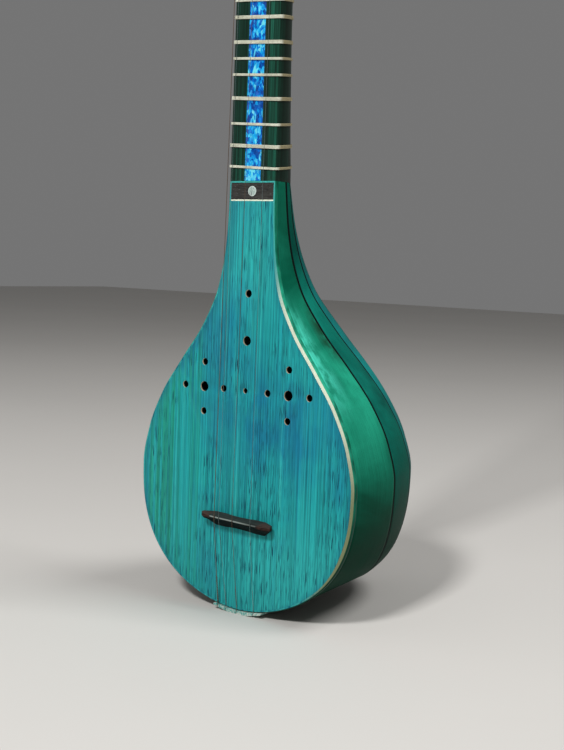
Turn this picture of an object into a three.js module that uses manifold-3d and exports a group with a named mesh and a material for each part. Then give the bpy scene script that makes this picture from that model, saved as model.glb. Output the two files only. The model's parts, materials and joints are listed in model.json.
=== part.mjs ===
// A setar: a long-necked Persian lute with a bowl of nine staves, tied gut frets,
// four friction pegs and four strings. Units are millimetres, +Z runs up the neck,
// the soundboard faces -Y and lies in the plane y = 0, and z = 0 is the tailpiece's flat underside.

import * as THREE from 'three';
import { mergeVertices } from 'three/addons/utils/BufferGeometryUtils.js';
import Module from 'manifold-3d';

const wasm = await Module();
wasm.setup();

// Driving dimensions of the body
const TAIL_THICKNESS = 1.8; // tailpiece below the lower edge of the face
const BODY_HALF_WIDTH = 78.4;
const BODY_DEPTH = 140;
const WIDEST_RISE = 80; // from the lower edge of the face up to the widest place
const JOINT_RISE = 251; // from the lower edge of the face up to the neck joint
const TAIL_POLE_DEPTH = 99.5; // behind the face, where the staves run together
const TAIL_POLE_LIFT = 5.4;
const STAVE_THICKNESS = 3;
const SPACER_WIDTH = 2.2; // black strip between two staves
const SEAM_ANGLES = [0, 20, 36.7, 58, 79]; // degrees round the bowl, mirrored behind 90
const GLUE_GAP = 0.15;

// Driving dimensions of the face
const FACE_THICKNESS = 2.5;
const BINDING_WIDTH = 2.8;
const PLATE_HEIGHT = 9.6;
const PLATE_HALF_WIDTH = 15.3;
const PLATE_LINE = 0.8; // light strips above and below the plate
const DOT_RADIUS = 2.9;
const DOT_THICKNESS = 1.2;
const HOLE_ROW_RISE = 130.3;
const CROSS_SHARES = { offset: 0.3929, arm: 0.1875 }; // places of the side holes beside half the face's width
const UPPER_HOLE_RISE = 29.1;
const TOP_HOLE_RISE = 56.4;
const HOLE_RADII = { middle: 1.6, upper: 2.8, top: 2.3, cross: 3, arm: 2.1 };

// Driving dimensions of the neck and head
const STRING_LENGTH = 650;
const CREST_RISE = 54; // bridge crest above the lower edge of the face
const NECK_HALF_AT_JOINT = 16.6;
const NECK_HALF_AT_NUT = 15.2;
const NECK_DEPTH_AT_JOINT = 28.4;
const NECK_DEPTH_AT_NUT = 21.5;
const NECK_BEVEL = 0.7;
const TENON_LENGTH = 38;
const TENON_CLEARANCE = 0.3;
const INLAY_WIDTH = 11.4;
const INLAY_THICKNESS = 1;
const HEAD_LENGTH = 128;
const HEAD_HALF_AT_TOP = 13.4;
const HEAD_DEPTH_AT_TOP = 18;
const HEAD_CAP = 3; // height of the chamfered top
const HEAD_CAP_SHARE = 0.78; // size of the top face beside the head
const NUT_LENGTH = 2.4;
const NUT_SEAT = 1.5;
const NUT_HEIGHT = 1.7;

// Tied frets: cents above the open string, and turns of gut in each band
const FRETS = [
  [90, 3], [204, 4], [294, 4], [345, 3], [408, 3], [498, 4], [640, 3], [702, 4], [792, 4],
  [845, 3], [906, 3], [996, 4], [1045, 3], [1110, 3], [1200, 4], [1290, 3], [1349, 3],
  [1404, 4], [1489, 4], [1548, 3], [1608, 3], [1700, 4], [1805, 3], [1901, 4], [2000, 3],
];
const CENTS_PER_OCTAVE = 1200;
const GUT_DIAMETER = 0.65;
const FRET_CLEARANCE = 0.3;
const FRET_TRAVEL = 2; // towards the body
const FRET_SLANT_SHARES = { fall: 0.06, rise: 0.1 }; // down to the treble side, up behind, for each mm
const GUT_VALLEY_SHARE = 0.55;

// Bridge
const BRIDGE_LENGTH = 50.6;
const BRIDGE_BASE_LENGTH = 36;
const BRIDGE_CREST_LENGTH = 32.6;
const BRIDGE_HEIGHT = 8.6;
const BRIDGE_TIP_LOW = 3.4;
const BRIDGE_TIP_HIGH = 5.4;
const BRIDGE_BACK = 6; // base from the crest's middle towards the tail
const BRIDGE_FRONT = 2.2; // base from the crest's middle towards the neck
const BRIDGE_TIP_BACK = 2.6; // the same for its narrow ends
const BRIDGE_TIP_FRONT = 1.6;
const BRIDGE_CREST_WIDTH = 1.1;
const BRIDGE_ARCH_LENGTH = 22;
const BRIDGE_ARCH_HEIGHT = 1.3;
const BRIDGE_SKEW = 2; // degrees, bass end towards the neck
const BRIDGE_TRAVEL = 1.5;
const BRIDGE_LIFT = 0.2;

// Tailpiece and tail block
const TAIL_HALF_LENGTH = 17.6;
const TAIL_FLAT_HALF = 7;
const TAIL_END_THICKNESS = 1.1;
const TAIL_LIP = 1.4; // stands in front of the face
const TAIL_REACH = 14; // runs back under the bowl
const BLOCK_HALF_WIDTH = 17;
const BLOCK_DEPTH = 106;
const BLOCK_RISE = 22;

// Strings
const BASS_DIAMETER = 0.35;
const MIDDLE_DIAMETER = 0.22;
const THIN_DIAMETER = 0.2;
const STRING_CLEARANCE = 0.3;
const STRING_SIDES = 6;
const TAIL_DROP_LENGTH = 3.4; // upright end of a string in its groove
const TAIL_STRING_OFFSET = 0.9; // in front of the face at the tail
const STRING_END_RISE = 0.6;
const EDGE_CLEARANCE = 0.9; // of a side-peg string from the head's edge
const COIL_TURNS = 3;
const COIL_STEPS = 18; // for each turn
const COIL_PITCH = 1;

// Pegs
const PEG_RADIUS_AT_HANDLE = 4;
const PEG_RADIUS_AT_TIP = 3.1;
const PEG_NECK = 15; // free shaft between the head and the handle
const PEG_TIP_OUT = 1.5; // end of the shaft beyond the head
const PEG_HOLE_CLEARANCE = 0.3;
const PEG_HANDLE_LENGTH = 32;
const PEG_HANDLE_RADIUS = 4.6;
const PEG_COLLAR_RADIUS = 5.2;
const PEG_COLLAR_LENGTH = 3;
const PEG_WIND_START = 3.2; // first turn of string off the head's face
const SIDE_PEG_DEPTH = 7.8; // side peg axes behind the face

// Strings' places, as shares of half the tailpiece, half the bridge's crest and half the nut
const STRING_SHARES = {
  bass: [-0.835, -0.81, -0.79],
  octave: [-0.477, -0.601, -0.632],
  middle: [-0.028, 0.013, 0.026],
  treble: [0.676, 0.823, 0.724],
};

// Places worked out from the sizes above
const BODY_BOTTOM = TAIL_THICKNESS;
const WIDEST = BODY_BOTTOM + WIDEST_RISE;
const JOINT = BODY_BOTTOM + JOINT_RISE;
const FRONT = FACE_THICKNESS + GLUE_GAP; // where the staves start behind the face
const CREST = BODY_BOTTOM + CREST_RISE;
const NUT = CREST + STRING_LENGTH;
const HEAD_TOP = NUT + HEAD_LENGTH;
const BOARD_TOP = JOINT - GLUE_GAP - PLATE_LINE - PLATE_HEIGHT - PLATE_LINE;
const PLATE_MIDDLE = BOARD_TOP + PLATE_LINE + PLATE_HEIGHT / 2;
const PEG_TAPER_LENGTH = PEG_NECK + NECK_DEPTH_AT_NUT;
const STAVE_COUNT = 2 * SEAM_ANGLES.length - 1;
const STRINGS = [
  stringBetween('bass', BASS_DIAMETER),
  stringBetween('octave', THIN_DIAMETER),
  stringBetween('middle', MIDDLE_DIAMETER),
  stringBetween('treble', THIN_DIAMETER),
];

// Steps that draw curves, and the length by which a cut passes the surface
const SIDES = { dot: 20, pegHole: 16, peg: 14, handle: 12 };
const CURVE_STEPS = { face: 7, arch: 5 };
const CUT_OVERRUN = 4;

// Pegs: height up the head, and the place where a side peg's string passes the head's edge
const PEG_RISE_SHARES = { middle: 0.281, bass: 0.469, treble: 0.688, octave: 0.875 };
const PEG_EDGE_SHARES = { bass: 0.281, octave: 0.688 };
const PEGS = {
  middle: { side: 'front', winds: 'left' },
  bass: { side: 'left' },
  treble: { side: 'front', winds: 'right' },
  octave: { side: 'left' },
};

// Shapes of the bowl, as shares of the size that each follows
const WIDTH_SHARES = [
  [0, 1], [0.13, 0.93], [0.26, 0.77], [0.38, 0.54], [0.51, 0.278], [0.64, 0.106],
  [0.78, 0.028], [0.9, 0.006], [1, 0],
];
const DEPTH_SHARES = [
  [0, 1], [0.121, 0.943], [0.303, 0.769], [0.485, 0.512], [0.667, 0.231], [0.848, 0.074],
  [1, 0],
];
const NECK_DEPTH_SHARES = [[0, 1], [0.066, 0.65], [0.2, 0.24], [0.45, 0.1], [1, 0]];
const STAVE_CROWN_SHARE = 0.65; // how far a stave bulges from its chord to the true curve
const SEAM_LIMIT_SHARE = 0.2; // most of a stave's width that a seam takes near the pole
const SPACER_LIMIT_SHARE = 0.15; // the same for half of a spacer
const POLE_SHARE = 0.04; // where the narrow ends of the staves stop
const EDGE_POWERS = { across: 1.9, along: 2.55 }; // roundness of the face's lower edge
const BACK_POWERS = { across: 2.055, along: 2.443 }; // roundness of the bowl behind it
const LIFT_POWER = 0.539;
const UPPER_SHARES = [1, 0.86, 0.74, 0.64, 0.55, 0.46, 0.37, 0.28, 0.19, 0.09, 0];
const LOWER_DEGREES = [13, 26, 38, 50, 60, 69, 77, 83.5];
const STAVE_FACETS = 4;
const SECTION_DEGREES = [0, 24, 47, 69, 90, 111, 133, 156, 180]; // round the neck's back

// Interpolates a table of shares by a smooth curve that never overshoots.
function easeShares(shares, at) {
  const slopes = shares.slice(1).map((p, i) => (p[1] - shares[i][1]) / (p[0] - shares[i][0]));
  const bend = shares.map((p, i) => {
    if (i === 0) return 0;
    if (i === shares.length - 1) return slopes[i - 1];
    const product = slopes[i - 1] * slopes[i];
    return product <= 0 ? 0 : (2 * product) / (slopes[i - 1] + slopes[i]);
  });
  const i = Math.max(0, shares.findLastIndex((p, n) => n < shares.length - 1 && p[0] <= at));
  const step = shares[i + 1][0] - shares[i][0];
  const u = (at - shares[i][0]) / step;
  const rise = shares[i + 1][1] - shares[i][1];
  const early = u * (1 - u) * (1 - u) * bend[i] * step;
  const late = u * u * (u - 1) * bend[i + 1] * step;
  return shares[i][1] + u * u * (3 - 2 * u) * rise + early + late;
}

function mix(a, b, share) {
  return a + (b - a) * share;
}

// A string with its places across the tail, the bridge and the nut.
function stringBetween(peg, diameter) {
  const [tail, bridge, nut] = STRING_SHARES[peg];
  return {
    name: `string_${peg}`,
    peg,
    diameter,
    tail: tail * TAIL_HALF_LENGTH,
    bridge: (bridge * BRIDGE_CREST_LENGTH) / 2,
    nut: nut * NECK_HALF_AT_NUT,
  };
}

// Closed mesh from loops of points: each loop is joined to the next, and both ends are capped.
// Crossed lofts turn their diagonals, so that they lie along those of a plain loft beside them.
function loft(loops, crossed = false) {
  const count = loops[0].length;
  const positions = loops.flat().flatMap((p) => [p.x, p.y, p.z]);
  const index = [];
  for (let row = 0; row < loops.length - 1; row++) {
    for (let i = 0; i < count; i++) {
      const a = row * count + i;
      const b = row * count + ((i + 1) % count);
      if (crossed) index.push(a, b, b + count, a, b + count, a + count);
      else index.push(a, b, a + count, b, b + count, a + count);
    }
  }
  const last = (loops.length - 1) * count;
  for (const [a, b, c] of capTriangles(count)) index.push(a, c, b, last + a, last + b, last + c);
  return solid(positions, index);
}

// Triangles that fill a loop whose second half runs back beside its first.
function capTriangles(count) {
  const triangles = [];
  for (let i = 0, j = count - 1; i + 1 < j; i++, j--) {
    triangles.push([i, i + 1, j]);
    if (i + 2 < j) triangles.push([i + 1, j - 1, j]);
  }
  return triangles;
}

// Indexed geometry, turned so that its faces point outwards.
function solid(positions, index) {
  let volume = 0;
  const corner = (i) => new THREE.Vector3().fromArray(positions, i * 3);
  for (let i = 0; i < index.length; i += 3) {
    const [a, b, c] = [corner(index[i]), corner(index[i + 1]), corner(index[i + 2])];
    volume += a.dot(b.cross(c));
  }
  if (volume < 0) index.reverse();
  const geometry = new THREE.BufferGeometry();
  geometry.setAttribute('position', new THREE.Float32BufferAttribute(positions, 3));
  geometry.setIndex(index);
  return geometry;
}

function toManifold(geometry) {
  const bare = geometry.clone();
  bare.deleteAttribute('normal');
  bare.deleteAttribute('uv');
  const merged = mergeVertices(bare);
  return new wasm.Manifold(new wasm.Mesh({
    numProp: 3,
    vertProperties: new Float32Array(merged.attributes.position.array),
    triVerts: new Uint32Array(merged.index.array),
  }));
}

function fromManifold(manifold) {
  const mesh = manifold.getMesh();
  const geometry = new THREE.BufferGeometry();
  geometry.setAttribute('position', new THREE.BufferAttribute(new Float32Array(mesh.vertProperties), 3));
  geometry.setIndex(new THREE.BufferAttribute(new Uint32Array(mesh.triVerts), 1));
  return geometry;
}

function cut(body, ...tools) {
  return fromManifold(tools.reduce((rest, tool) => rest.subtract(toManifold(tool)), toManifold(body)));
}

function join(...bodies) {
  return fromManifold(bodies.map(toManifold).reduce((sum, body) => sum.add(body)));
}

function common(body, other) {
  return fromManifold(toManifold(body).intersect(toManifold(other)));
}

// Box between two opposite corners.
function boxBetween(low, high) {
  const geometry = new THREE.BoxGeometry(high[0] - low[0], high[1] - low[1], high[2] - low[2]);
  return geometry.translate((low[0] + high[0]) / 2, (low[1] + high[1]) / 2, (low[2] + high[2]) / 2);
}

// Flat shape drawn in X and Z, thickened backwards from y = front.
function faceSlab(shape, front, thickness) {
  const options = { depth: thickness, bevelEnabled: false, curveSegments: CURVE_STEPS.face };
  const geometry = new THREE.ExtrudeGeometry(shape, options);
  return geometry.rotateX(Math.PI / 2).translate(0, front + thickness, 0);
}

// Tube of constant radius along points, with flat ends.
function tube(points, radius) {
  const loops = [];
  let side = new THREE.Vector3(1, 0, 0);
  points.forEach((point, i) => {
    const before = points[Math.max(i - 1, 0)];
    const after = points[Math.min(i + 1, points.length - 1)];
    const way = after.clone().sub(before).normalize();
    side = side.clone().addScaledVector(way, -side.dot(way)).normalize();
    const up = way.clone().cross(side);
    const loop = [];
    for (let n = 0; n < STRING_SIDES; n++) {
      const angle = (2 * Math.PI * n) / STRING_SIDES;
      const spoke = side.clone().multiplyScalar(Math.cos(angle)).addScaledVector(up, Math.sin(angle));
      loop.push(point.clone().addScaledVector(spoke, radius));
    }
    loops.push(loop);
  });
  return loft(loops);
}

// Outline of the face and the bowl's depth above the widest place.
function bodyHalfAt(z) {
  const share = easeShares(WIDTH_SHARES, (z - WIDEST) / (JOINT - WIDEST));
  return mix(NECK_HALF_AT_JOINT, BODY_HALF_WIDTH, share);
}

function bodyDepthAt(z) {
  const share = easeShares(DEPTH_SHARES, (z - WIDEST) / (JOINT - WIDEST));
  return mix(NECK_DEPTH_AT_JOINT, BODY_DEPTH, share);
}

// Point of the bowl at an angle round it, set in by a wall's thickness.
// A station is a height above the widest place, or an angle below it.
function bowlPoint(angle, station, inset = 0) {
  if (station.z !== undefined) {
    const half = bodyHalfAt(station.z) - inset;
    const depth = bodyDepthAt(station.z) - inset;
    const y = FRONT + (depth - FRONT) * Math.sin(angle);
    return new THREE.Vector3(half * Math.cos(angle), y, station.z);
  }
  const side = Math.min(angle, Math.PI - angle) / THREE.MathUtils.degToRad(SEAM_ANGLES[1]);
  const back = THREE.MathUtils.clamp(side, 0, 1);
  const across = Math.cos(station.turn) ** (2 / mix(EDGE_POWERS.across, BACK_POWERS.across, back));
  const along = Math.sin(station.turn) ** (2 / mix(EDGE_POWERS.along, BACK_POWERS.along, back));
  const endY = mix(FRONT, TAIL_POLE_DEPTH, back);
  const endZ = BODY_BOTTOM + inset + TAIL_POLE_LIFT * back ** LIFT_POWER;
  const wideY = FRONT + (BODY_DEPTH - inset - FRONT) * Math.sin(angle);
  const x = (BODY_HALF_WIDTH - inset) * Math.cos(angle) * across;
  return new THREE.Vector3(x, mix(endY, wideY, across), mix(WIDEST, endZ, along));
}

// Stations from the neck joint down to the tail.
function bowlStations(isSide) {
  const top = JOINT - GLUE_GAP;
  const stations = UPPER_SHARES.map((share) => ({ z: mix(WIDEST, top, share) }));
  const poleTurn = Math.acos(POLE_SHARE ** (BACK_POWERS.across / 2));
  const turns = LOWER_DEGREES.map(THREE.MathUtils.degToRad).concat(poleTurn);
  if (isSide) turns.push(Math.acos((GLUE_GAP / BODY_HALF_WIDTH) ** (EDGE_POWERS.across / 2)));
  return stations.concat(turns.map((turn) => ({ turn })));
}

function seamAngle(seam) {
  const last = SEAM_ANGLES.length - 1;
  const degrees = seam <= last ? SEAM_ANGLES[seam] : 180 - SEAM_ANGLES[2 * last + 1 - seam];
  return THREE.MathUtils.degToRad(degrees);
}

// Point of a stave at a share of its width: flatter than the true curve, so its seams stand out.
function stavePoint(stave, share, station, inset) {
  const [low, high] = [seamAngle(stave), seamAngle(stave + 1)];
  const chord = bowlPoint(low, station, inset).lerp(bowlPoint(high, station, inset), share);
  return chord.lerp(bowlPoint(mix(low, high, share), station, inset), STAVE_CROWN_SHARE);
}

// Shares of a stave's width that its own edge and the black line's edge keep from the seam.
function seamShares(stave, station) {
  const low = bowlPoint(seamAngle(stave), station);
  const width = low.distanceTo(bowlPoint(seamAngle(stave + 1), station));
  const halfLine = SPACER_WIDTH / 2;
  const edge = Math.min((halfLine + GLUE_GAP) / width, SEAM_LIMIT_SHARE);
  return { edge, line: Math.min(halfLine / width, SPACER_LIMIT_SHARE) };
}

// Points across one face of a stave, from its lower seam to its upper one.
function staveRow(stave, station, inset) {
  const { edge } = seamShares(stave, station);
  const low = stave === 0 ? 0 : edge;
  const high = stave === STAVE_COUNT - 1 ? 1 : 1 - edge;
  return Array.from({ length: STAVE_FACETS + 1 }, (_, i) =>
    stavePoint(stave, mix(low, high, i / STAVE_FACETS), station, inset));
}

function staveGeometry(stave) {
  const isSide = stave === 0 || stave === STAVE_COUNT - 1;
  return loft(bowlStations(isSide).map((station) =>
    [...staveRow(stave, station, 0), ...staveRow(stave, station, STAVE_THICKNESS).reverse()]));
}

function spacerGeometry(seam) {
  return loft(bowlStations(false).map((station) => {
    const before = 1 - seamShares(seam - 1, station).line;
    const after = seamShares(seam, station).line;
    const pair = (inset) => [
      stavePoint(seam - 1, before, station, inset),
      stavePoint(seam, after, station, inset),
    ];
    return [...pair(0), ...pair(STAVE_THICKNESS).reverse()];
  }), true);
}

// Right side of the face's outline from the tail up to a height, moved inwards.
function faceSide(inset, top) {
  const degrees = [...LOWER_DEGREES].reverse();
  const lower = [Math.PI / 2, ...degrees.map(THREE.MathUtils.degToRad)].map((turn) => bowlPoint(0, { turn }));
  const heights = [...UPPER_SHARES].reverse().map((share) => mix(WIDEST, JOINT, share));
  const upper = heights.filter((z) => z < top - PLATE_LINE).map((z) => bowlPoint(0, { z }));
  const side = [...lower, ...upper, bowlPoint(0, { z: top })].map((p) => new THREE.Vector2(p.x, p.z));
  side[0].x = 0;
  return side.map((point, i) => {
    if (i === 0) return new THREE.Vector2(0, point.y + inset);
    const before = side[i - 1];
    const after = side[Math.min(i + 1, side.length - 1)];
    const way = after.clone().sub(before).normalize();
    const moved = new THREE.Vector2(point.x - way.y * inset, point.y + way.x * inset);
    return i === side.length - 1 ? new THREE.Vector2(moved.x, top) : moved;
  });
}

function faceLoop(inset, top) {
  const right = faceSide(inset, top);
  const left = right.slice(1).reverse().map((p) => new THREE.Vector2(-p.x, p.y));
  return [...right, ...left];
}

function soundHoles() {
  const row = BODY_BOTTOM + HOLE_ROW_RISE;
  const holes = [
    [0, row, HOLE_RADII.middle],
    [0, row + UPPER_HOLE_RISE, HOLE_RADII.upper],
    [0, row + TOP_HOLE_RISE, HOLE_RADII.top],
  ];
  for (const side of [-1, 1]) {
    const middle = side * CROSS_SHARES.offset * BODY_HALF_WIDTH;
    const arm = CROSS_SHARES.arm * BODY_HALF_WIDTH;
    holes.push([middle, row, HOLE_RADII.cross]);
    for (const [dx, dz] of [[1, 0], [-1, 0], [0, 1], [0, -1]]) {
      holes.push([middle + dx * arm, row + dz * arm, HOLE_RADII.arm]);
    }
  }
  return holes;
}

function soundboardGeometry() {
  const shape = new THREE.Shape(faceLoop(BINDING_WIDTH + GLUE_GAP, BOARD_TOP - GLUE_GAP));
  for (const [x, z, radius] of soundHoles()) {
    shape.holes.push(new THREE.Path().absarc(x, z, radius, 0, 2 * Math.PI, true));
  }
  return faceSlab(shape, 0, FACE_THICKNESS);
}

function rectangle(half, low, high) {
  return [[-half, low], [half, low], [half, high], [-half, high]].map(([x, z]) => new THREE.Vector2(x, z));
}

function bindingGeometry() {
  const shape = new THREE.Shape(faceLoop(0, JOINT - GLUE_GAP));
  shape.holes.push(new THREE.Path(faceLoop(BINDING_WIDTH, BOARD_TOP).reverse()));
  const low = BOARD_TOP + PLATE_LINE;
  const window = rectangle(PLATE_HALF_WIDTH + GLUE_GAP, low, low + PLATE_HEIGHT);
  shape.holes.push(new THREE.Path(window.reverse()));
  return faceSlab(shape, 0, FACE_THICKNESS);
}

function throatPlateGeometry() {
  const half = PLATE_HEIGHT / 2 - GLUE_GAP;
  const outline = rectangle(PLATE_HALF_WIDTH, PLATE_MIDDLE - half, PLATE_MIDDLE + half);
  const plate = faceSlab(new THREE.Shape(outline), 0, FACE_THICKNESS);
  const radius = DOT_RADIUS + GLUE_GAP;
  const seat = new THREE.CylinderGeometry(radius, radius, 2 * (DOT_THICKNESS + GLUE_GAP), SIDES.dot);
  return cut(plate, seat.translate(0, 0, PLATE_MIDDLE));
}

function pearlDotGeometry() {
  const dot = new THREE.CylinderGeometry(DOT_RADIUS, DOT_RADIUS, DOT_THICKNESS, SIDES.dot);
  return dot.translate(0, DOT_THICKNESS / 2, PLATE_MIDDLE);
}

// Half width and depth of the neck and head at a height.
function neckSizeAt(z) {
  if (z <= NUT) {
    const share = (z - JOINT) / (NUT - JOINT);
    const deep = easeShares(NECK_DEPTH_SHARES, share);
    return {
      half: mix(NECK_HALF_AT_JOINT, NECK_HALF_AT_NUT, share),
      depth: mix(NECK_DEPTH_AT_NUT, NECK_DEPTH_AT_JOINT, deep),
    };
  }
  const share = (z - NUT) / HEAD_LENGTH;
  return {
    half: mix(NECK_HALF_AT_NUT, HEAD_HALF_AT_TOP, share),
    depth: mix(NECK_DEPTH_AT_NUT, HEAD_DEPTH_AT_TOP, share),
  };
}

// Loop round the neck at a height: flat front, bevelled edges, round back, grown by an offset.
function neckLoop(z, offset = 0) {
  const size = neckSizeAt(z);
  const half = size.half + offset;
  const edge = NECK_BEVEL - offset / 2;
  const flat = half - NECK_BEVEL - offset / 2;
  const loop = [new THREE.Vector3(flat, -offset, z), new THREE.Vector3(half, edge, z)];
  for (const degrees of SECTION_DEGREES) {
    const angle = THREE.MathUtils.degToRad(degrees);
    const y = FRONT + (size.depth + offset - FRONT) * Math.sin(angle);
    loop.push(new THREE.Vector3(half * Math.cos(angle), y, z));
  }
  loop.push(new THREE.Vector3(-half, edge, z), new THREE.Vector3(-flat, -offset, z));
  return loop;
}

// Block inside the top of the bowl, on which the staves are glued.
function tenonGeometry() {
  const wall = STAVE_THICKNESS + TENON_CLEARANCE;
  const top = JOINT - GLUE_GAP;
  const heights = UPPER_SHARES.map((share) => mix(WIDEST, top, share));
  const low = top - TENON_LENGTH;
  const rows = [JOINT + NECK_BEVEL, ...heights.filter((z) => z > low), low];
  return loft(rows.map((z) => SECTION_DEGREES.map((degrees) => {
    const angle = THREE.MathUtils.degToRad(degrees);
    const point = bowlPoint(angle, { z: Math.min(z, JOINT) }, wall);
    return point.setZ(z);
  })));
}

function pegFrame(name) {
  const peg = PEGS[name];
  const z = NUT + PEG_RISE_SHARES[name] * HEAD_LENGTH;
  if (peg.side === 'front') return { z, face: 0, through: neckSizeAt(z).depth };
  const half = neckSizeAt(z).half;
  return { z, face: half, through: 2 * half };
}

// Radius of a peg's shaft at a distance from its handle.
function pegRadiusAt(distance) {
  return mix(PEG_RADIUS_AT_HANDLE, PEG_RADIUS_AT_TIP, distance / PEG_TAPER_LENGTH);
}

// Tapered shaft along +Y, from the handle at y = 0 to its tip.
function taperedShaft(from, to, clearance, sides) {
  const radii = [pegRadiusAt(to) + clearance, pegRadiusAt(from) + clearance];
  const shaft = new THREE.CylinderGeometry(radii[0], radii[1], to - from, sides);
  return shaft.translate(0, (from + to) / 2, 0);
}

// Puts a peg that points along +Y at its place in the head.
function placePeg(geometry, name) {
  const { z, face } = pegFrame(name);
  if (PEGS[name].side === 'front') return geometry.translate(0, -PEG_NECK, z);
  return geometry.rotateZ(-Math.PI / 2).translate(-face - PEG_NECK, SIDE_PEG_DEPTH, z);
}

function pegHole(name) {
  const { through } = pegFrame(name);
  const [from, to] = [PEG_NECK - CUT_OVERRUN, PEG_NECK + through + CUT_OVERRUN];
  return placePeg(taperedShaft(from, to, PEG_HOLE_CLEARANCE, SIDES.pegHole), name);
}

function pegGeometry(name) {
  const { through } = pegFrame(name);
  const shaft = taperedShaft(0, PEG_NECK + through + PEG_TIP_OUT, 0, SIDES.peg);
  const radii = [PEG_RADIUS_AT_HANDLE, PEG_COLLAR_RADIUS];
  const collar = new THREE.CylinderGeometry(...radii, PEG_COLLAR_LENGTH, SIDES.peg);
  return placePeg(join(shaft, collar.translate(0, PEG_COLLAR_LENGTH / 2, 0), pegHandle()), name);
}

// Turned cross-bar of the T-shaped handle, with a waist, two swellings and rounded ends.
function pegHandle() {
  const shares = [[0, 1], [0.3, 0.9], [0.5, 0.82], [0.72, 1], [0.9, 0.86], [1, 0.45]];
  const half = PEG_HANDLE_LENGTH / 2;
  const right = shares.map(([at, wide]) => new THREE.Vector2(wide * PEG_HANDLE_RADIUS, at * half));
  const left = right.slice(1).reverse().map((p) => new THREE.Vector2(p.x, -p.y));
  const profile = [new THREE.Vector2(0, -half), ...left, ...right, new THREE.Vector2(0, half)];
  const bar = new THREE.LatheGeometry(profile, SIDES.handle);
  return bar.rotateZ(Math.PI / 2).translate(0, -PEG_HANDLE_RADIUS / 2, 0);
}

function inlayGroove() {
  const half = INLAY_WIDTH / 2 + GLUE_GAP;
  const low = [-half, -CUT_OVERRUN, JOINT - CUT_OVERRUN];
  return boxBetween(low, [half, INLAY_THICKNESS + GLUE_GAP, NUT - NUT_LENGTH]);
}

function neckInlayGeometry() {
  const half = INLAY_WIDTH / 2;
  return boxBetween([-half, 0, JOINT + GLUE_GAP], [half, INLAY_THICKNESS, NUT - NUT_LENGTH - GLUE_GAP]);
}

function neckGeometry() {
  const neckShares = [0, 0.015, 0.03, 0.045, 0.06, 0.08, 0.105, 0.13, 0.2, 0.32, 0.6, 1];
  const heights = neckShares.map((share) => mix(JOINT, NUT, share));
  const loops = [...heights, HEAD_TOP - HEAD_CAP].map((z) => neckLoop(z));
  const middle = new THREE.Vector3(0, HEAD_DEPTH_AT_TOP / 2, HEAD_TOP);
  loops.push(neckLoop(HEAD_TOP).map((p) => p.lerp(middle, 1 - HEAD_CAP_SHARE)));
  const body = join(loft(loops), tenonGeometry());
  const wide = NECK_HALF_AT_JOINT + CUT_OVERRUN;
  const nutSeat = boxBetween(
    [-wide, -CUT_OVERRUN, NUT - GLUE_GAP],
    [wide, NUT_SEAT, NUT + NUT_LENGTH + GLUE_GAP],
  );
  return cut(body, inlayGroove(), nutSeat, ...Object.keys(PEGS).map(pegHole));
}

function stringAxisAtNut(string) {
  return NUT_HEIGHT + string.diameter / 2;
}

// Nut with a slot for each string, drawn across the neck and thickened along it.
function nutGeometry() {
  const half = neckSizeAt(NUT).half;
  const floor = NUT_HEIGHT - STRING_CLEARANCE;
  const crown = [];
  for (const string of STRINGS) {
    const wide = string.diameter / 2 + STRING_CLEARANCE;
    const rim = NUT_HEIGHT + string.diameter;
    for (const [x, height] of [[-wide, rim], [-wide, floor], [wide, floor], [wide, rim]]) {
      crown.push(new THREE.Vector2(string.nut + x, -height));
    }
  }
  const seat = NUT_SEAT - GLUE_GAP;
  const shoulder = -NUT_HEIGHT / 2;
  const outline = [
    new THREE.Vector2(-half, seat), new THREE.Vector2(-half, shoulder),
    ...crown,
    new THREE.Vector2(half, shoulder), new THREE.Vector2(half, seat),
  ];
  const options = { depth: NUT_LENGTH, bevelEnabled: false };
  return new THREE.ExtrudeGeometry(new THREE.Shape(outline), options).translate(0, 0, NUT);
}

function fretHeight(cents) {
  return CREST + STRING_LENGTH * 2 ** (-cents / CENTS_PER_OCTAVE);
}

// Bands are tied where there is neck under them and under their travel.
function fitsOnNeck([cents, turns]) {
  const drop = FRET_SLANT_SHARES.fall * NECK_HALF_AT_JOINT;
  return fretHeight(cents) > JOINT + FRET_TRAVEL + drop + turns * GUT_DIAMETER;
}

// Loop round the neck that slants: each point follows the neck's section at its own height.
function slantedLoop(z, offset) {
  return neckLoop(z, offset).map((p, i) => {
    const height = z - FRET_SLANT_SHARES.fall * p.x + FRET_SLANT_SHARES.rise * p.y;
    return neckLoop(height, offset)[i];
  });
}

// Band of gut turns tied round the neck: a closed ring with a ridge for each turn.
function fretGeometry(cents, turns) {
  const z = fretHeight(cents);
  const profile = [[0, 0]];
  for (let turn = 0; turn < turns; turn++) {
    profile.push([(turn + 1 / 2) * GUT_DIAMETER, GUT_DIAMETER]);
    const rise = turn < turns - 1 ? GUT_VALLEY_SHARE * GUT_DIAMETER : 0;
    profile.push([(turn + 1) * GUT_DIAMETER, rise]);
  }
  const half = (turns * GUT_DIAMETER) / 2;
  const rows = profile.map(([along, rise]) => slantedLoop(z - half + along, FRET_CLEARANCE + rise));
  return ring(rows);
}

// Closed ring from rows of loops: the last row is joined back to the first.
function ring(rows) {
  const count = rows[0].length;
  const positions = rows.flat().flatMap((p) => [p.x, p.y, p.z]);
  const index = [];
  for (let row = 0; row < rows.length; row++) {
    const next = (row + 1) % rows.length;
    for (let i = 0; i < count; i++) {
      const j = (i + 1) % count;
      const [a, b, c, d] = [row * count + i, row * count + j, next * count + i, next * count + j];
      index.push(a, b, c, b, d, c);
    }
  }
  return solid(positions, index);
}

// Height of a string's axis over the face at the bridge.
function stringAxisAtBridge(string) {
  return BRIDGE_LIFT + BRIDGE_HEIGHT + string.diameter / 2;
}

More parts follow.
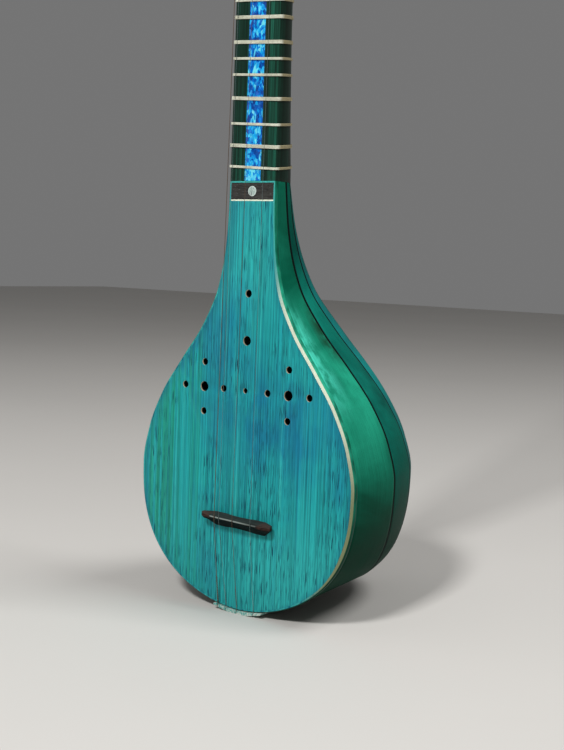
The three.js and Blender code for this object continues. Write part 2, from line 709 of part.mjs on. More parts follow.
function bridgeCrestAt(x) {
  return CREST - x * Math.tan(THREE.MathUtils.degToRad(BRIDGE_SKEW));
}

// Bridge about its crest: a roof-shaped bar with scooped ends, a low arch and string slots.
function bridgeGeometry() {
  const crest = BRIDGE_CREST_WIDTH / 2;
  const section = [[-BRIDGE_BACK, 0], [-crest, BRIDGE_HEIGHT], [crest, BRIDGE_HEIGHT], [BRIDGE_FRONT, 0]];
  const roof = new THREE.Shape(section.map(([x, y]) => new THREE.Vector2(x, y)));
  const bar = new THREE.ExtrudeGeometry(roof, { depth: BRIDGE_LENGTH, bevelEnabled: false });
  bar.translate(0, 0, -BRIDGE_LENGTH / 2).rotateY(Math.PI / 2);
  const blank = common(common(bar, bridgeOutline()), bridgePlan());
  const depth = BRIDGE_BACK + CUT_OVERRUN;
  const fall = (BRIDGE_HEIGHT - TAIL_STRING_OFFSET) / CREST_RISE;
  const slots = STRINGS.map((string) => {
    const half = string.diameter / 2 + STRING_CLEARANCE;
    const floor = BRIDGE_HEIGHT - STRING_CLEARANCE - fall * (BRIDGE_TRAVEL + crest);
    const high = [string.bridge + half, BRIDGE_HEIGHT + CUT_OVERRUN, depth];
    return boxBetween([string.bridge - half, floor, -depth], high);
  });
  return cut(blank, ...slots);
}

// Plan of the bridge, thickened upwards: its ends are narrower than its middle.
function bridgePlan() {
  const [foot, tip] = [BRIDGE_BASE_LENGTH / 2, BRIDGE_LENGTH / 2];
  const corners = [
    [-tip, BRIDGE_TIP_BACK], [-foot, BRIDGE_BACK], [foot, BRIDGE_BACK], [tip, BRIDGE_TIP_BACK],
    [tip, -BRIDGE_TIP_FRONT], [foot, -BRIDGE_FRONT], [-foot, -BRIDGE_FRONT], [-tip, -BRIDGE_TIP_FRONT],
  ];
  const plan = new THREE.Shape(corners.map(([x, z]) => new THREE.Vector2(x, z)));
  const height = BRIDGE_HEIGHT + CUT_OVERRUN;
  const slab = new THREE.ExtrudeGeometry(plan, { depth: height, bevelEnabled: false });
  return slab.rotateX(Math.PI / 2).translate(0, height, 0);
}

// Front view of the bridge, thickened along the strings: pointed ends, flat crest, low arch.
function bridgeOutline() {
  const [foot, crest, tip] = [BRIDGE_BASE_LENGTH / 2, BRIDGE_CREST_LENGTH / 2, BRIDGE_LENGTH / 2];
  const arch = BRIDGE_ARCH_LENGTH / 2;
  const shape = new THREE.Shape();
  shape.moveTo(arch, 0);
  shape.lineTo(foot, 0);
  shape.lineTo(tip, BRIDGE_TIP_LOW);
  shape.lineTo(tip, BRIDGE_TIP_HIGH);
  shape.quadraticCurveTo((tip + crest) / 2, BRIDGE_TIP_HIGH, crest, BRIDGE_HEIGHT + GLUE_GAP);
  shape.lineTo(-crest, BRIDGE_HEIGHT + GLUE_GAP);
  shape.quadraticCurveTo(-(tip + crest) / 2, BRIDGE_TIP_HIGH, -tip, BRIDGE_TIP_HIGH);
  shape.lineTo(-tip, BRIDGE_TIP_LOW);
  shape.lineTo(-foot, 0);
  shape.lineTo(-arch, 0);
  shape.quadraticCurveTo(0, 2 * BRIDGE_ARCH_HEIGHT, arch, 0);
  const length = 2 * (BRIDGE_BACK + CUT_OVERRUN);
  const options = { depth: length, bevelEnabled: false, curveSegments: CURVE_STEPS.arch };
  return new THREE.ExtrudeGeometry(shape, options).translate(0, 0, -length / 2);
}

// Tailpiece: a strip under the lower edge, flat in its middle, grooved in front for the strings.
function tailpieceGeometry() {
  const edge = faceSide(0, JOINT).filter((p) => p.x < TAIL_HALF_LENGTH && p.y < WIDEST);
  const endTurn = Math.acos((TAIL_HALF_LENGTH / BODY_HALF_WIDTH) ** (EDGE_POWERS.across / 2));
  const end = bowlPoint(0, { turn: endTurn });
  const upper = [...edge, new THREE.Vector2(end.x, end.z)].map((p) => new THREE.Vector2(p.x, p.y - GLUE_GAP));
  const right = [new THREE.Vector2(TAIL_FLAT_HALF, 0)];
  const under = upper.filter((p) => p.x > TAIL_FLAT_HALF + TAIL_THICKNESS);
  for (const p of under) {
    const out = (p.x - TAIL_FLAT_HALF) / (TAIL_HALF_LENGTH - TAIL_FLAT_HALF);
    const thickness = mix(TAIL_THICKNESS, TAIL_END_THICKNESS, out);
    right.push(new THREE.Vector2(p.x, Math.max(p.y - thickness, 0)));
  }
  const mirror = (points) => points.map((p) => new THREE.Vector2(-p.x, p.y));
  const outline = [
    ...mirror(right).reverse(), ...right,
    ...upper.slice().reverse(), ...mirror(upper.slice(1)),
  ];
  const strip = faceSlab(new THREE.Shape(outline), -TAIL_LIP, TAIL_LIP + TAIL_REACH);
  const grooves = STRINGS.map((string) => {
    const half = string.diameter / 2 + STRING_CLEARANCE;
    const low = [string.tail - half, -TAIL_LIP - CUT_OVERRUN, -CUT_OVERRUN];
    return boxBetween(low, [string.tail + half, half - TAIL_STRING_OFFSET, CUT_OVERRUN + end.z]);
  });
  return cut(strip, ...grooves);
}

// Block inside the tail, shaped by the inner faces of the staves.
function tailBlockGeometry() {
  const wall = STAVE_THICKNESS + TENON_CLEARANCE;
  const turns = LOWER_DEGREES.slice(2).map(THREE.MathUtils.degToRad);
  turns.push(Math.acos(POLE_SHARE ** (BACK_POWERS.across / 2)));
  const staves = Array.from({ length: STAVE_COUNT }, (_, stave) => stave);
  const inner = loft(turns.map((turn) => staves.flatMap((stave) => staveRow(stave, { turn }, wall))));
  const low = [-BLOCK_HALF_WIDTH, FRONT, 0];
  return common(inner, boxBetween(low, [BLOCK_HALF_WIDTH, BLOCK_DEPTH, BODY_BOTTOM + BLOCK_RISE]));
}

// Turns of a string round its peg, starting where the straight string meets the peg.
function coilPoints(string) {
  const peg = PEGS[string.peg];
  const { z, face } = pegFrame(string.peg);
  const radius = pegRadiusAt(0) + STRING_CLEARANCE + string.diameter / 2;
  const across = peg.winds === 'left' ? -radius : radius;
  const points = [];
  for (let step = 0; step <= COIL_TURNS * COIL_STEPS; step++) {
    const angle = (2 * Math.PI * step) / COIL_STEPS;
    const out = PEG_WIND_START + (COIL_PITCH * step) / COIL_STEPS;
    const height = z + radius * Math.sin(angle);
    points.push(peg.side === 'front'
      ? new THREE.Vector3(across * Math.cos(angle), -out, height)
      : new THREE.Vector3(-face - out, SIDE_PEG_DEPTH - radius * Math.cos(angle), height));
  }
  return points;
}

// Where a string for a side peg passes the head's front edge.
function headEdgePoint(name) {
  const z = NUT + PEG_EDGE_SHARES[name] * HEAD_LENGTH;
  return new THREE.Vector3(-neckSizeAt(z).half - EDGE_CLEARANCE, -EDGE_CLEARANCE, z);
}

// Route of a string from its groove in the tailpiece to the last turn round its peg.
function stringPoints(string) {
  const tailEdge = faceSide(0, JOINT).find((p) => p.x > Math.abs(string.tail)).y;
  const bend = Math.max(tailEdge, STRING_END_RISE + TAIL_DROP_LENGTH);
  const points = [
    new THREE.Vector3(string.tail, -TAIL_STRING_OFFSET, STRING_END_RISE + tailEdge - BODY_BOTTOM),
    new THREE.Vector3(string.tail, -TAIL_STRING_OFFSET, bend),
    new THREE.Vector3(string.bridge, -stringAxisAtBridge(string), bridgeCrestAt(string.bridge)),
    new THREE.Vector3(string.nut, -stringAxisAtNut(string), NUT + NUT_LENGTH / 2),
  ];
  if (PEGS[string.peg].side === 'left') points.push(headEdgePoint(string.peg));
  return points.concat(coilPoints(string));
}

// Least distance between turns of one coil, surface to surface.
function leastCoilGap(string) {
  const points = coilPoints(string);
  let least = Infinity;
  for (let i = 0; i < points.length; i++) {
    for (let j = i + COIL_STEPS / 2; j < points.length; j++) {
      least = Math.min(least, points[i].distanceTo(points[j]) - string.diameter);
    }
  }
  return least;
}

const COLOURS = {
  face: '#2f9da0', stave: '#15705f', spacer: '#0b0d0c', binding: '#c9c08d', neck: '#0f3a30',
  pearl: '#1c7fd6', plate: '#2a1a12', dot: '#c8d0cc', gut: '#d8d3b4', bridge: '#1d1714',
  tail: '#9fc4b8', bone: '#e2dcc4', steel: '#b9bcc0', bronze: '#b98a55', peg: '#123f36',
  lining: '#7a5c3c',
};

function finish(colour, roughness, metalness = 0) {
  return new THREE.MeshStandardMaterial({ color: COLOURS[colour], roughness, metalness });
}

const setar = new THREE.Group();

function add(name, geometry, material) {
  const mesh = new THREE.Mesh(geometry, material);
  mesh.name = name;
  setar.add(mesh);
  return mesh;
}

function addBody() {
  add('soundboard', soundboardGeometry(), finish('face', 0.45));
  add('binding', bindingGeometry(), finish('binding', 0.4));
  add('throat_plate', throatPlateGeometry(), finish('plate', 0.45));
  add('pearl_dot', pearlDotGeometry(), finish('dot', 0.25));
  for (let stave = 0; stave < STAVE_COUNT; stave++) {
    add(`stave_${stave + 1}`, staveGeometry(stave), finish('stave', 0.35));
  }
  for (let seam = 1; seam < STAVE_COUNT; seam++) {
    add(`spacer_${seam}`, spacerGeometry(seam), finish('spacer', 0.5));
  }
  add('tail_block', tailBlockGeometry(), finish('lining', 0.7));
  add('tailpiece', tailpieceGeometry(), finish('tail', 0.4));
}

function addNeck() {
  add('neck', neckGeometry(), finish('neck', 0.35));
  add('neck_inlay', neckInlayGeometry(), finish('pearl', 0.2));
  add('nut', nutGeometry(), finish('bone', 0.4));
  FRETS.filter(fitsOnNeck).forEach(([cents, turns], i) => {
    const number = String(i + 1).padStart(2, '0');
    add(`fret_${number}`, fretGeometry(cents, turns), finish('gut', 0.55));
  });
}

function addStringsAndPegs() {
  const bridge = add('bridge', bridgeGeometry(), finish('bridge', 0.4));
  bridge.rotation.x = Math.PI;
  const turn = new THREE.Group();
  turn.rotation.y = THREE.MathUtils.degToRad(BRIDGE_SKEW);
  turn.position.set(0, -BRIDGE_LIFT, CREST);
  turn.add(bridge);
  setar.add(turn);
  for (const string of STRINGS) {
    const metal = string.name === 'string_octave' || string.name === 'string_treble' ? 'steel' : 'bronze';
    add(string.name, tube(stringPoints(string), string.diameter / 2), finish(metal, 0.3, 1));
    console.log(`${string.name}: least gap between its turns ${leastCoilGap(string).toFixed(2)} mm`);
  }
  for (const name of Object.keys(PEGS)) add(`peg_${name}`, pegGeometry(name), finish('peg', 0.35));
}

addBody();
addNeck();
addStringsAndPegs();

export default setar;
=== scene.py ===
"""A setar: dyed bowl of staves, straight-grained face, dark neck with tied gut frets, wire strings and pegs.

Each operator models one piece, or one group of like pieces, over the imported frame. Sizes are in metres,
+Z runs up the neck and the face looks along -Y.
"""

import json
import math
import random

import bpy
from bpy.props import FloatProperty, FloatVectorProperty, IntProperty, PointerProperty
from mathutils import Matrix, Vector

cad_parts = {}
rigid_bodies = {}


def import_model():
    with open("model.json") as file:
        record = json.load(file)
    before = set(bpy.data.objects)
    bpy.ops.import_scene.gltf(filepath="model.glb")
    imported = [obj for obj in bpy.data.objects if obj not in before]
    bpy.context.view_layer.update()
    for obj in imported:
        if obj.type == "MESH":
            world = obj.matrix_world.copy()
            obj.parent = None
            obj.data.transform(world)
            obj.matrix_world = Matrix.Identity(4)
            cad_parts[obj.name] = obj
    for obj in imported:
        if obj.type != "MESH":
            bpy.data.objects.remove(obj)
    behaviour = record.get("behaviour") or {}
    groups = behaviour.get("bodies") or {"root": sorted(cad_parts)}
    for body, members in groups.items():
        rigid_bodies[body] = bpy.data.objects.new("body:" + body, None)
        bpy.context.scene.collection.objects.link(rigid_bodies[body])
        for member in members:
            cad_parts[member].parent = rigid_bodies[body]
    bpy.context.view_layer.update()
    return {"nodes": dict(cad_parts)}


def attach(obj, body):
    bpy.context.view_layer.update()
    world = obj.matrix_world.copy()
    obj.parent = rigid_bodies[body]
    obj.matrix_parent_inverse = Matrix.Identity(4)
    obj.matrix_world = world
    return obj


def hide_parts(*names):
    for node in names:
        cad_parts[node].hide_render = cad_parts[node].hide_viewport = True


bl_info = {
    "name": "Setar",
    "version": (1, 0, 0),
    "blender": (4, 5, 0),
    "location": "3D View > Sidebar > Setar",
    "description": "Models the pieces of a setar over its CAD frame",
    "category": "Object",
}

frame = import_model()
MM = 0.001
HAIRLINE = 0.05 * MM  # gap between pieces that are glued or let in

# Face and bowl
BODY_BOTTOM = 1.8 * MM
WIDEST = 81.8 * MM
JOINT = 252.8 * MM
FACE_THICKNESS = 2.5 * MM
FRONT = 2.65 * MM
BODY_HALF_WIDTH = 78.4 * MM
BODY_DEPTH = 140 * MM
# The staves run together at a pole under the tail, behind the face
TAIL_POLE_DEPTH, TAIL_POLE_LIFT, LIFT_POWER = 99.5 * MM, 5.4 * MM, 0.539
SEAM_DEGREES = [0, 20, 36.7, 58, 79, 101, 122, 143.3, 160, 180]
STAVE_CROWN_SHARE = 0.65  # 0 is flat across, 1 is the round of the bowl
SPACER_HALF, SPACER_LIMIT_SHARE = 1.1 * MM, 0.15  # half width, and most of a stave's width that it takes
# Powers of the rounded outline below the widest place, at the face and at the back
EDGE_ACROSS, EDGE_ALONG = 1.9, 2.55
BACK_ACROSS, BACK_ALONG = 2.055, 2.443
POLE_TURN = math.acos(0.012 ** (BACK_ACROSS / 2))  # just short of the pole
# Shares of the way up from the widest place to the neck joint, and shares of width and depth there
WIDTH_SHARES = [(0, 1), (0.13, 0.93), (0.26, 0.77), (0.38, 0.54), (0.51, 0.278), (0.64, 0.106),
                (0.78, 0.028), (0.9, 0.006), (1, 0)]
DEPTH_SHARES = [(0, 1), (0.121, 0.943), (0.303, 0.769), (0.485, 0.512), (0.667, 0.231), (0.848, 0.074), (1, 0)]
BOARD_TOP = 241.45 * MM
PLATE_LOW = BOARD_TOP + 0.8 * MM
PLATE_HIGH = PLATE_LOW + 9.6 * MM
PLATE_MIDDLE = (PLATE_LOW + PLATE_HIGH) / 2
PLATE_HALF_WIDTH = 15.3 * MM
DOT_RADIUS = 2.9 * MM
RIM_ROUND = 1.0 * MM
EDGING_NARROW, EDGING_BROAD = 1.4 * MM, 2.6 * MM
HOLE_ROW = 132.1 * MM
CROSS_OFFSET = 30.8 * MM
CROSS_ARM = 14.7 * MM
# Heights in metres between which the bowl's colour darkens with painted shade, and how much, low down and at the
# throat
LOW_SHADE = (0.145, 0.04, 0, 0.95)
THROAT_SHADE = (0.165, 0.235, 0, 0.6)

# Neck and head
CREST = 55.8 * MM
STRING_LENGTH = 650 * MM
NUT = CREST + STRING_LENGTH
HEAD_TOP = NUT + 128 * MM
NECK_HALF_AT_JOINT, NECK_HALF_AT_NUT, HEAD_HALF_AT_TOP = 16.6 * MM, 15.2 * MM, 13.4 * MM
NECK_DEPTH_AT_JOINT, NECK_DEPTH_AT_NUT, HEAD_DEPTH_AT_TOP = 28.4 * MM, 21.5 * MM, 18 * MM
NECK_DEPTH_SHARES = [(0, 1), (0.066, 0.65), (0.2, 0.24), (0.45, 0.1), (1, 0)]
NECK_BEVEL = 0.7 * MM
# Cents above the open string, and turns of gut
FRETS = [(90, 3), (204, 4), (294, 4), (345, 3), (408, 3), (498, 4), (640, 3), (702, 4), (792, 4), (845, 3),
         (906, 3), (996, 4), (1045, 3), (1110, 3), (1200, 4), (1290, 3), (1349, 3), (1404, 4), (1489, 4),
         (1548, 3), (1608, 3), (1700, 4), (1805, 3), (1901, 4), (2000, 3)]
FRET_FALL_SHARE, FRET_RISE_SHARE = 0.06, 0.1  # down to the treble side and up behind, for each mm
FRET_TRAVEL = 2 * MM  # towards the body, where the neck is wider
GUT_LIFT_LIMIT = 0.3 * MM
KNOT_DEPTH = 6 * MM  # the knots sit this far behind the face
GROOVE_HALF_WIDTH, GROOVE_DEPTH = 5.74 * MM, 1.02 * MM
SEAT_DEPTH, SEAT_HEIGHT = 1.5 * MM, 2.45 * MM  # of the nut
# The neck's end inside the bowl, its distance behind the face, and its shares of the neck's width and depth
TENON_LENGTH, TENON_FRONT, TENON_WIDTH_SHARE, TENON_DEPTH_SHARE = 38 * MM, 3.3 * MM, 0.8, 0.77

# Strings: diameter, and places across the tail, the bridge and the nut
STRINGS = {
    "bass": (0.35 * MM, -14.7 * MM, -13.2 * MM, -12.0 * MM),
    "octave": (0.2 * MM, -8.4 * MM, -9.8 * MM, -9.6 * MM),
    "middle": (0.22 * MM, -0.5 * MM, 0.2 * MM, 0.4 * MM),
    "treble": (0.2 * MM, 11.9 * MM, 13.4 * MM, 11.0 * MM),
}
PEG_SHARES = {"middle": 0.281, "bass": 0.469, "treble": 0.688, "octave": 0.875}
PEG_HEIGHTS = {name: NUT + share * 128 * MM for name, share in PEG_SHARES.items()}
SIDE_TURN_LIFTS = {"bass": 36 * MM, "octave": 88 * MM}  # where the side pegs' strings leave the front
STRING_OUT = 0.9 * MM  # distance of the strings' ends from the face and from the head
NUT_HEIGHT = 1.7 * MM
PEG_RADIUS, PEG_TIP_RADIUS, PEG_TAPER = 4 * MM, 3.1 * MM, 36.5 * MM
PEG_HOLE = 4.05 * MM
FRONT_PEGS = ("middle", "treble")
SIDE_PEG_DEPTH = 7.8 * MM
PEG_NECK = 15 * MM
PEG_LIFT = 0.3 * MM
BRIDGE_SKEW = math.radians(2)
BRIDGE_HEIGHT = 8.8 * MM
CREST_LEAN = 0.8 * MM  # how far the bridge's crest leans towards the neck
CAMERA_AT = (453.8 * MM, -584.4 * MM, 211.9 * MM)
BODY = "instrument"


# Small helpers for modelling


def select_only(piece):
    bpy.ops.object.select_all(action="DESELECT")
    piece.select_set(True)
    bpy.context.view_layer.objects.active = piece


def apply_modifier(piece, kind, **settings):
    """Adds one modifier, sets it up and applies it."""
    select_only(piece)
    bpy.ops.object.modifier_add(type=kind)
    modifier = piece.modifiers[-1]
    for key, value in settings.items():
        setattr(modifier, key, value)
    bpy.ops.object.modifier_apply(modifier=modifier.name)


def edit_all(piece, *steps):
    """Runs steps in edit mode, each on the whole piece."""
    select_only(piece)
    bpy.ops.object.mode_set(mode="EDIT")
    for step in steps:
        bpy.ops.mesh.select_all(action="SELECT")
        step()
    bpy.ops.object.mode_set(mode="OBJECT")


def turn_outwards():
    """Step for edit_all: faces outwards."""
    bpy.ops.mesh.normals_make_consistent(inside=False)


def clean_mesh(piece, merge=1e-7, *steps):
    """Merges doubles, runs further steps and turns the faces outwards."""
    edit_all(piece, lambda: bpy.ops.mesh.remove_doubles(threshold=merge), *steps, turn_outwards)


def boolean(piece, tool, operation="DIFFERENCE"):
    """Cuts a tool out of a piece, or joins the two, and deletes the tool."""
    apply_modifier(piece, "BOOLEAN", operation=operation, object=tool, solver="EXACT")
    bpy.data.objects.remove(tool)


def round_edges(piece, chosen, width):
    """Rounds the edges whose middles a test picks out."""
    edit_all(piece, lambda: bpy.ops.mesh.select_mode(type="EDGE"), lambda: bpy.ops.mesh.select_all(action="DESELECT"))
    places = [vertex.co for vertex in piece.data.vertices]
    for edge in piece.data.edges:
        first, last = edge.vertices
        edge.select = chosen(places[first].lerp(places[last], 0.5))
    bpy.ops.object.mode_set(mode="EDIT")
    bpy.ops.mesh.bevel(offset=width, segments=5, affect="EDGES")
    bpy.ops.object.mode_set(mode="OBJECT")


def bevel(piece, width, degrees, segments=2):
    """Rounds the edges that bend by more than an angle."""
    apply_modifier(piece, "BEVEL", width=width, segments=segments, limit_method="ANGLE",
                   angle_limit=math.radians(degrees), harden_normals=False)


def dress(piece, name, material, slot, node, body=BODY, smooth=24):
    """Names a finished piece, smooths it, gives it its material and ties it to the frame."""
    piece.name = piece.data.name = name
    select_only(piece)
    bpy.ops.object.transform_apply()
    bpy.ops.object.shade_smooth_by_angle(angle=math.radians(smooth))
    paint(piece, material)
    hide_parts(node)
    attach(piece, body)


def paint(piece, material):
    """Gives a piece one material and no other."""
    piece.data.materials.clear()
    piece.data.materials.append(material)


def grid_sheet(columns, rows, place):
    """Grid whose points are moved to place(u, v), with u and v kept as its UV map."""
    bpy.ops.mesh.primitive_grid_add(x_subdivisions=columns, y_subdivisions=rows, size=2)
    sheet = bpy.context.object
    for vertex in sheet.data.vertices:
        vertex.co = place((vertex.co.x + 1) / 2, (vertex.co.y + 1) / 2)
    return sheet


def grid_tube(columns, rows, place):
    """Grid rolled into a tube round u, joined along its seam and closed at both ends."""
    tube = grid_sheet(columns, rows, place)
    clean_mesh(tube, 1e-6, lambda: bpy.ops.mesh.fill_holes(sides=0))
    return tube


def plate_from_outline(points, front, thickness):
    """Flat plate: a filled circle whose points are moved to the outline, then extruded backwards."""
    bpy.ops.mesh.primitive_circle_add(vertices=len(points), fill_type="NGON")
    plate = bpy.context.object
    for vertex, (x, z) in zip(plate.data.vertices, points):
        vertex.co = (x, front, z)
    back = {"value": (0, thickness, 0)}
    edit_all(plate, lambda: bpy.ops.mesh.extrude_region_move(TRANSFORM_OT_translate=back), turn_outwards)
    return plate


def settled():
    """The new primitive, with its place, turn and scale moved into its mesh."""
    piece = bpy.context.object
    select_only(piece)
    bpy.ops.object.transform_apply()
    return piece


def rod(radius, depth, at, axis="Y", sides=48):
    """Cylinder centred at a place, along Y or X, for holes and the dot."""
    turn = (math.pi / 2, 0, 0) if axis == "Y" else (0, math.pi / 2, 0)
    bpy.ops.mesh.primitive_cylinder_add(vertices=sides, radius=radius, depth=depth, location=at, rotation=turn)
    return settled()


def block(low, high):
    """Box between two corners."""
    middle = [(a + b) / 2 for a, b in zip(low, high)]
    bpy.ops.mesh.primitive_cube_add(size=1, location=middle, scale=[b - a for a, b in zip(low, high)])
    return settled()


def copy_of_node(node):
    """Copy of a CAD node's mesh, merged into one skin."""
    select_only(frame["nodes"][node])
    bpy.ops.object.duplicate()
    piece = bpy.context.object
    bpy.ops.object.parent_clear(type="CLEAR_KEEP_TRANSFORM")
    for key in list(piece.keys()):
        del piece[key]
    clean_mesh(piece, 1e-6)
    edit_all(piece, lambda: bpy.ops.mesh.dissolve_limited(angle_limit=math.radians(1)))
    return piece


def wire(points, diameter, sides):
    """Round wire along points: a poly curve with a round bevel, made a mesh."""
    curve = bpy.data.curves.new("wire", "CURVE")
    curve.dimensions = "3D"
    curve.bevel_depth = diameter / 2
    curve.bevel_resolution = sides
    curve.use_fill_caps = True
    spline = curve.splines.new("POLY")
    spline.points.add(len(points) - 1)
    for point, place in zip(spline.points, points):
        point.co = (*place, 1)
    piece = bpy.data.objects.new("wire", curve)
    bpy.context.scene.collection.objects.link(piece)
    select_only(piece)
    bpy.ops.object.convert(target="MESH")
    return bpy.context.object


def join_pieces(first, second):
    select_only(first)
    second.select_set(True)
    bpy.ops.object.join()
    return bpy.context.object


# Shape of the body


def mix(a, b, share):
    return a + (b - a) * share


def ease(value, low, high):
    """Smooth step from 0 at low to 1 at high."""
    share = min(1, max(0, (value - low) / (high - low)))
    return share * share * (3 - 2 * share)


def ease_shares(shares, at):
    """Reads a table of shares along a smooth curve that never overshoots."""
    last = len(shares) - 1
    slopes = [(b[1] - a[1]) / (b[0] - a[0]) for a, b in zip(shares, shares[1:])]
    bend = [0.0]
    for before, after in zip(slopes, slopes[1:]):
        product = before * after
        bend.append(0.0 if product <= 0 else 2 * product / (before + after))
    bend.append(slopes[-1])
    i = max([n for n in range(last) if shares[n][0] <= at], default=0)
    step = shares[i + 1][0] - shares[i][0]
    u = (at - shares[i][0]) / step
    rise = shares[i + 1][1] - shares[i][1]
    early = u * (1 - u) ** 2 * bend[i] * step
    late = u * u * (u - 1) * bend[i + 1] * step
    return shares[i][1] + u * u * (3 - 2 * u) * rise + early + late


def bowl_point(angle, z=None, turn=None):
    """Point of the bowl's skin at an angle round it and a height, or a turn below the widest place."""
    if z is not None:
        share = (z - WIDEST) / (JOINT - WIDEST)
        half = mix(NECK_HALF_AT_JOINT, BODY_HALF_WIDTH, ease_shares(WIDTH_SHARES, share))
        depth = mix(NECK_DEPTH_AT_JOINT, BODY_DEPTH, ease_shares(DEPTH_SHARES, share))
        return Vector((half * math.cos(angle), FRONT + (depth - FRONT) * math.sin(angle), z))
    back = min(1, max(0, min(angle, math.pi - angle) / math.radians(SEAM_DEGREES[1])))
    across = max(0, math.cos(turn)) ** (2 / mix(EDGE_ACROSS, BACK_ACROSS, back))
    along = math.sin(turn) ** (2 / mix(EDGE_ALONG, BACK_ALONG, back))
    end_y = mix(FRONT, TAIL_POLE_DEPTH, back)
    end_z = BODY_BOTTOM + TAIL_POLE_LIFT * back ** LIFT_POWER
    wide_y = FRONT + (BODY_DEPTH - FRONT) * math.sin(angle)
    x = BODY_HALF_WIDTH * math.cos(angle) * across
    return Vector((x, mix(end_y, wide_y, across), mix(WIDEST, end_z, along)))


def bowl_station(share, last_turn):
    """Station at a share of the way from the neck joint down to the tail; rows crowd where the bowl curves in."""
    upper = 0.55  # share of the rows above the widest place
    if share <= upper:
        return {"z": mix(JOINT - 0.04 * MM, WIDEST, share / upper)}
    down = (share - upper) / (1 - upper)
    return {"turn": last_turn * (1.35 * down - 0.35 * down * down)}


def stave_point(stave, share, station):
    """Point of a stave at a share of its width, a little flatter than the true curve."""
    low, high = (math.radians(SEAM_DEGREES[stave + n]) for n in (0, 1))
    chord = bowl_point(low, **station).lerp(bowl_point(high, **station), share)
    return chord.lerp(bowl_point(mix(low, high, share), **station), STAVE_CROWN_SHARE)


def spacer_share(stave, station):
    """Share of a stave's width that the black line beside it takes."""
    low, high = (bowl_point(math.radians(SEAM_DEGREES[stave + n]), **station) for n in (0, 1))
    return min(SPACER_HALF / max((high - low).length, 1e-9), SPACER_LIMIT_SHARE)


def face_half_width(z):
    """Half the face's width at a height."""
    if z >= WIDEST:
        return bowl_point(0, z=z).x
    along = min(1, max(0, (WIDEST - z) / (WIDEST - BODY_BOTTOM)))
    turn = math.asin(along ** (EDGE_ALONG / 2))
    return bowl_point(0, turn=turn).x


def binding_width(side, z):
    """Width of the edging: broad on the right of the bowl, narrow on the left, at the throat and at the tail."""
    if side < 0:
        return EDGING_NARROW
    return mix(EDGING_NARROW, EDGING_BROAD, ease(z, 0.02, 0.05) * (1 - ease(z, 0.19, 0.225)))


def face_outline(top, width=None, gap=0.0, steps=110):
    """Outline of the face, moved inwards by the edging: up the right side from the tail, then down the left."""
    side = [bowl_point(0, turn=math.pi / 2 * (1 - n / steps)) for n in range(steps)]
    side += [bowl_point(0, z=mix(WIDEST, top, n / steps)) for n in range(steps + 1)]
    right, left = [], []
    for before, point, after in zip(side[:1] + side, side, side[1:] + side[-1:]):
        way = (after - before).normalized()
        for sign, edge in ((1, right), (-1, left)):
            inset = gap + (width(sign, point.z) if width else 0)
            edge.append([sign * (point.x - way.z * inset), point.z + way.x * inset])
    right[0][0] = 0
    right[-1][1] = left[-1][1] = top
    return right + left[:0:-1]


def sound_holes():
    """Places and radii of the sound holes: one line up the middle, and a cross on each side."""
    holes = [(0, HOLE_ROW, 1.6 * MM), (0, HOLE_ROW + 29.1 * MM, 2.8 * MM), (0, HOLE_ROW + 56.4 * MM, 2.3 * MM)]
    for side in (-1, 1):
        middle = side * CROSS_OFFSET
        holes.append((middle, HOLE_ROW, 3 * MM))
        for dx, dz in ((1, 0), (-1, 0), (0, 1), (0, -1)):
            holes.append((middle + dx * CROSS_ARM, HOLE_ROW + dz * CROSS_ARM, 2.1 * MM))
    return holes


# Shape of the neck


def neck_size(z):
    """Half width and depth of the neck and head at a height."""
    if z <= NUT:
        share = (z - JOINT) / (NUT - JOINT)
        deep = ease_shares(NECK_DEPTH_SHARES, share)
        return mix(NECK_HALF_AT_JOINT, NECK_HALF_AT_NUT, share), mix(NECK_DEPTH_AT_NUT, NECK_DEPTH_AT_JOINT, deep)
    share = (z - NUT) / (HEAD_TOP - NUT)
    return mix(NECK_HALF_AT_NUT, HEAD_HALF_AT_TOP, share), mix(NECK_DEPTH_AT_NUT, HEAD_DEPTH_AT_TOP, share)


def neck_section(z, offset=0.0):
    """Loop round the neck: flat front, small bevels and a round back, grown by an offset."""
    half, depth = neck_size(z)
    half += offset
    flat, low = half - NECK_BEVEL - offset / 2, NECK_BEVEL - offset / 2
    loop = [Vector((mix(-flat, flat, n / 6), -offset, z)) for n in range(7)] + [Vector((half, low, z))]
    for n in range(29):
        angle = math.pi * n / 28
        loop.append(Vector((half * math.cos(angle), FRONT + (depth + offset - FRONT) * math.sin(angle), z)))
    return loop + [Vector((-half, low, z))]


def slanted_section(z, offset):
    """Loop round the neck that slants as the tied bands do, on the neck's section at each point's height."""
    level = neck_section(z, offset)
    heights = [z - FRET_FALL_SHARE * point.x + FRET_RISE_SHARE * point.y for point in level]
    return [neck_section(height, offset)[n] for n, height in enumerate(heights)]


# Materials


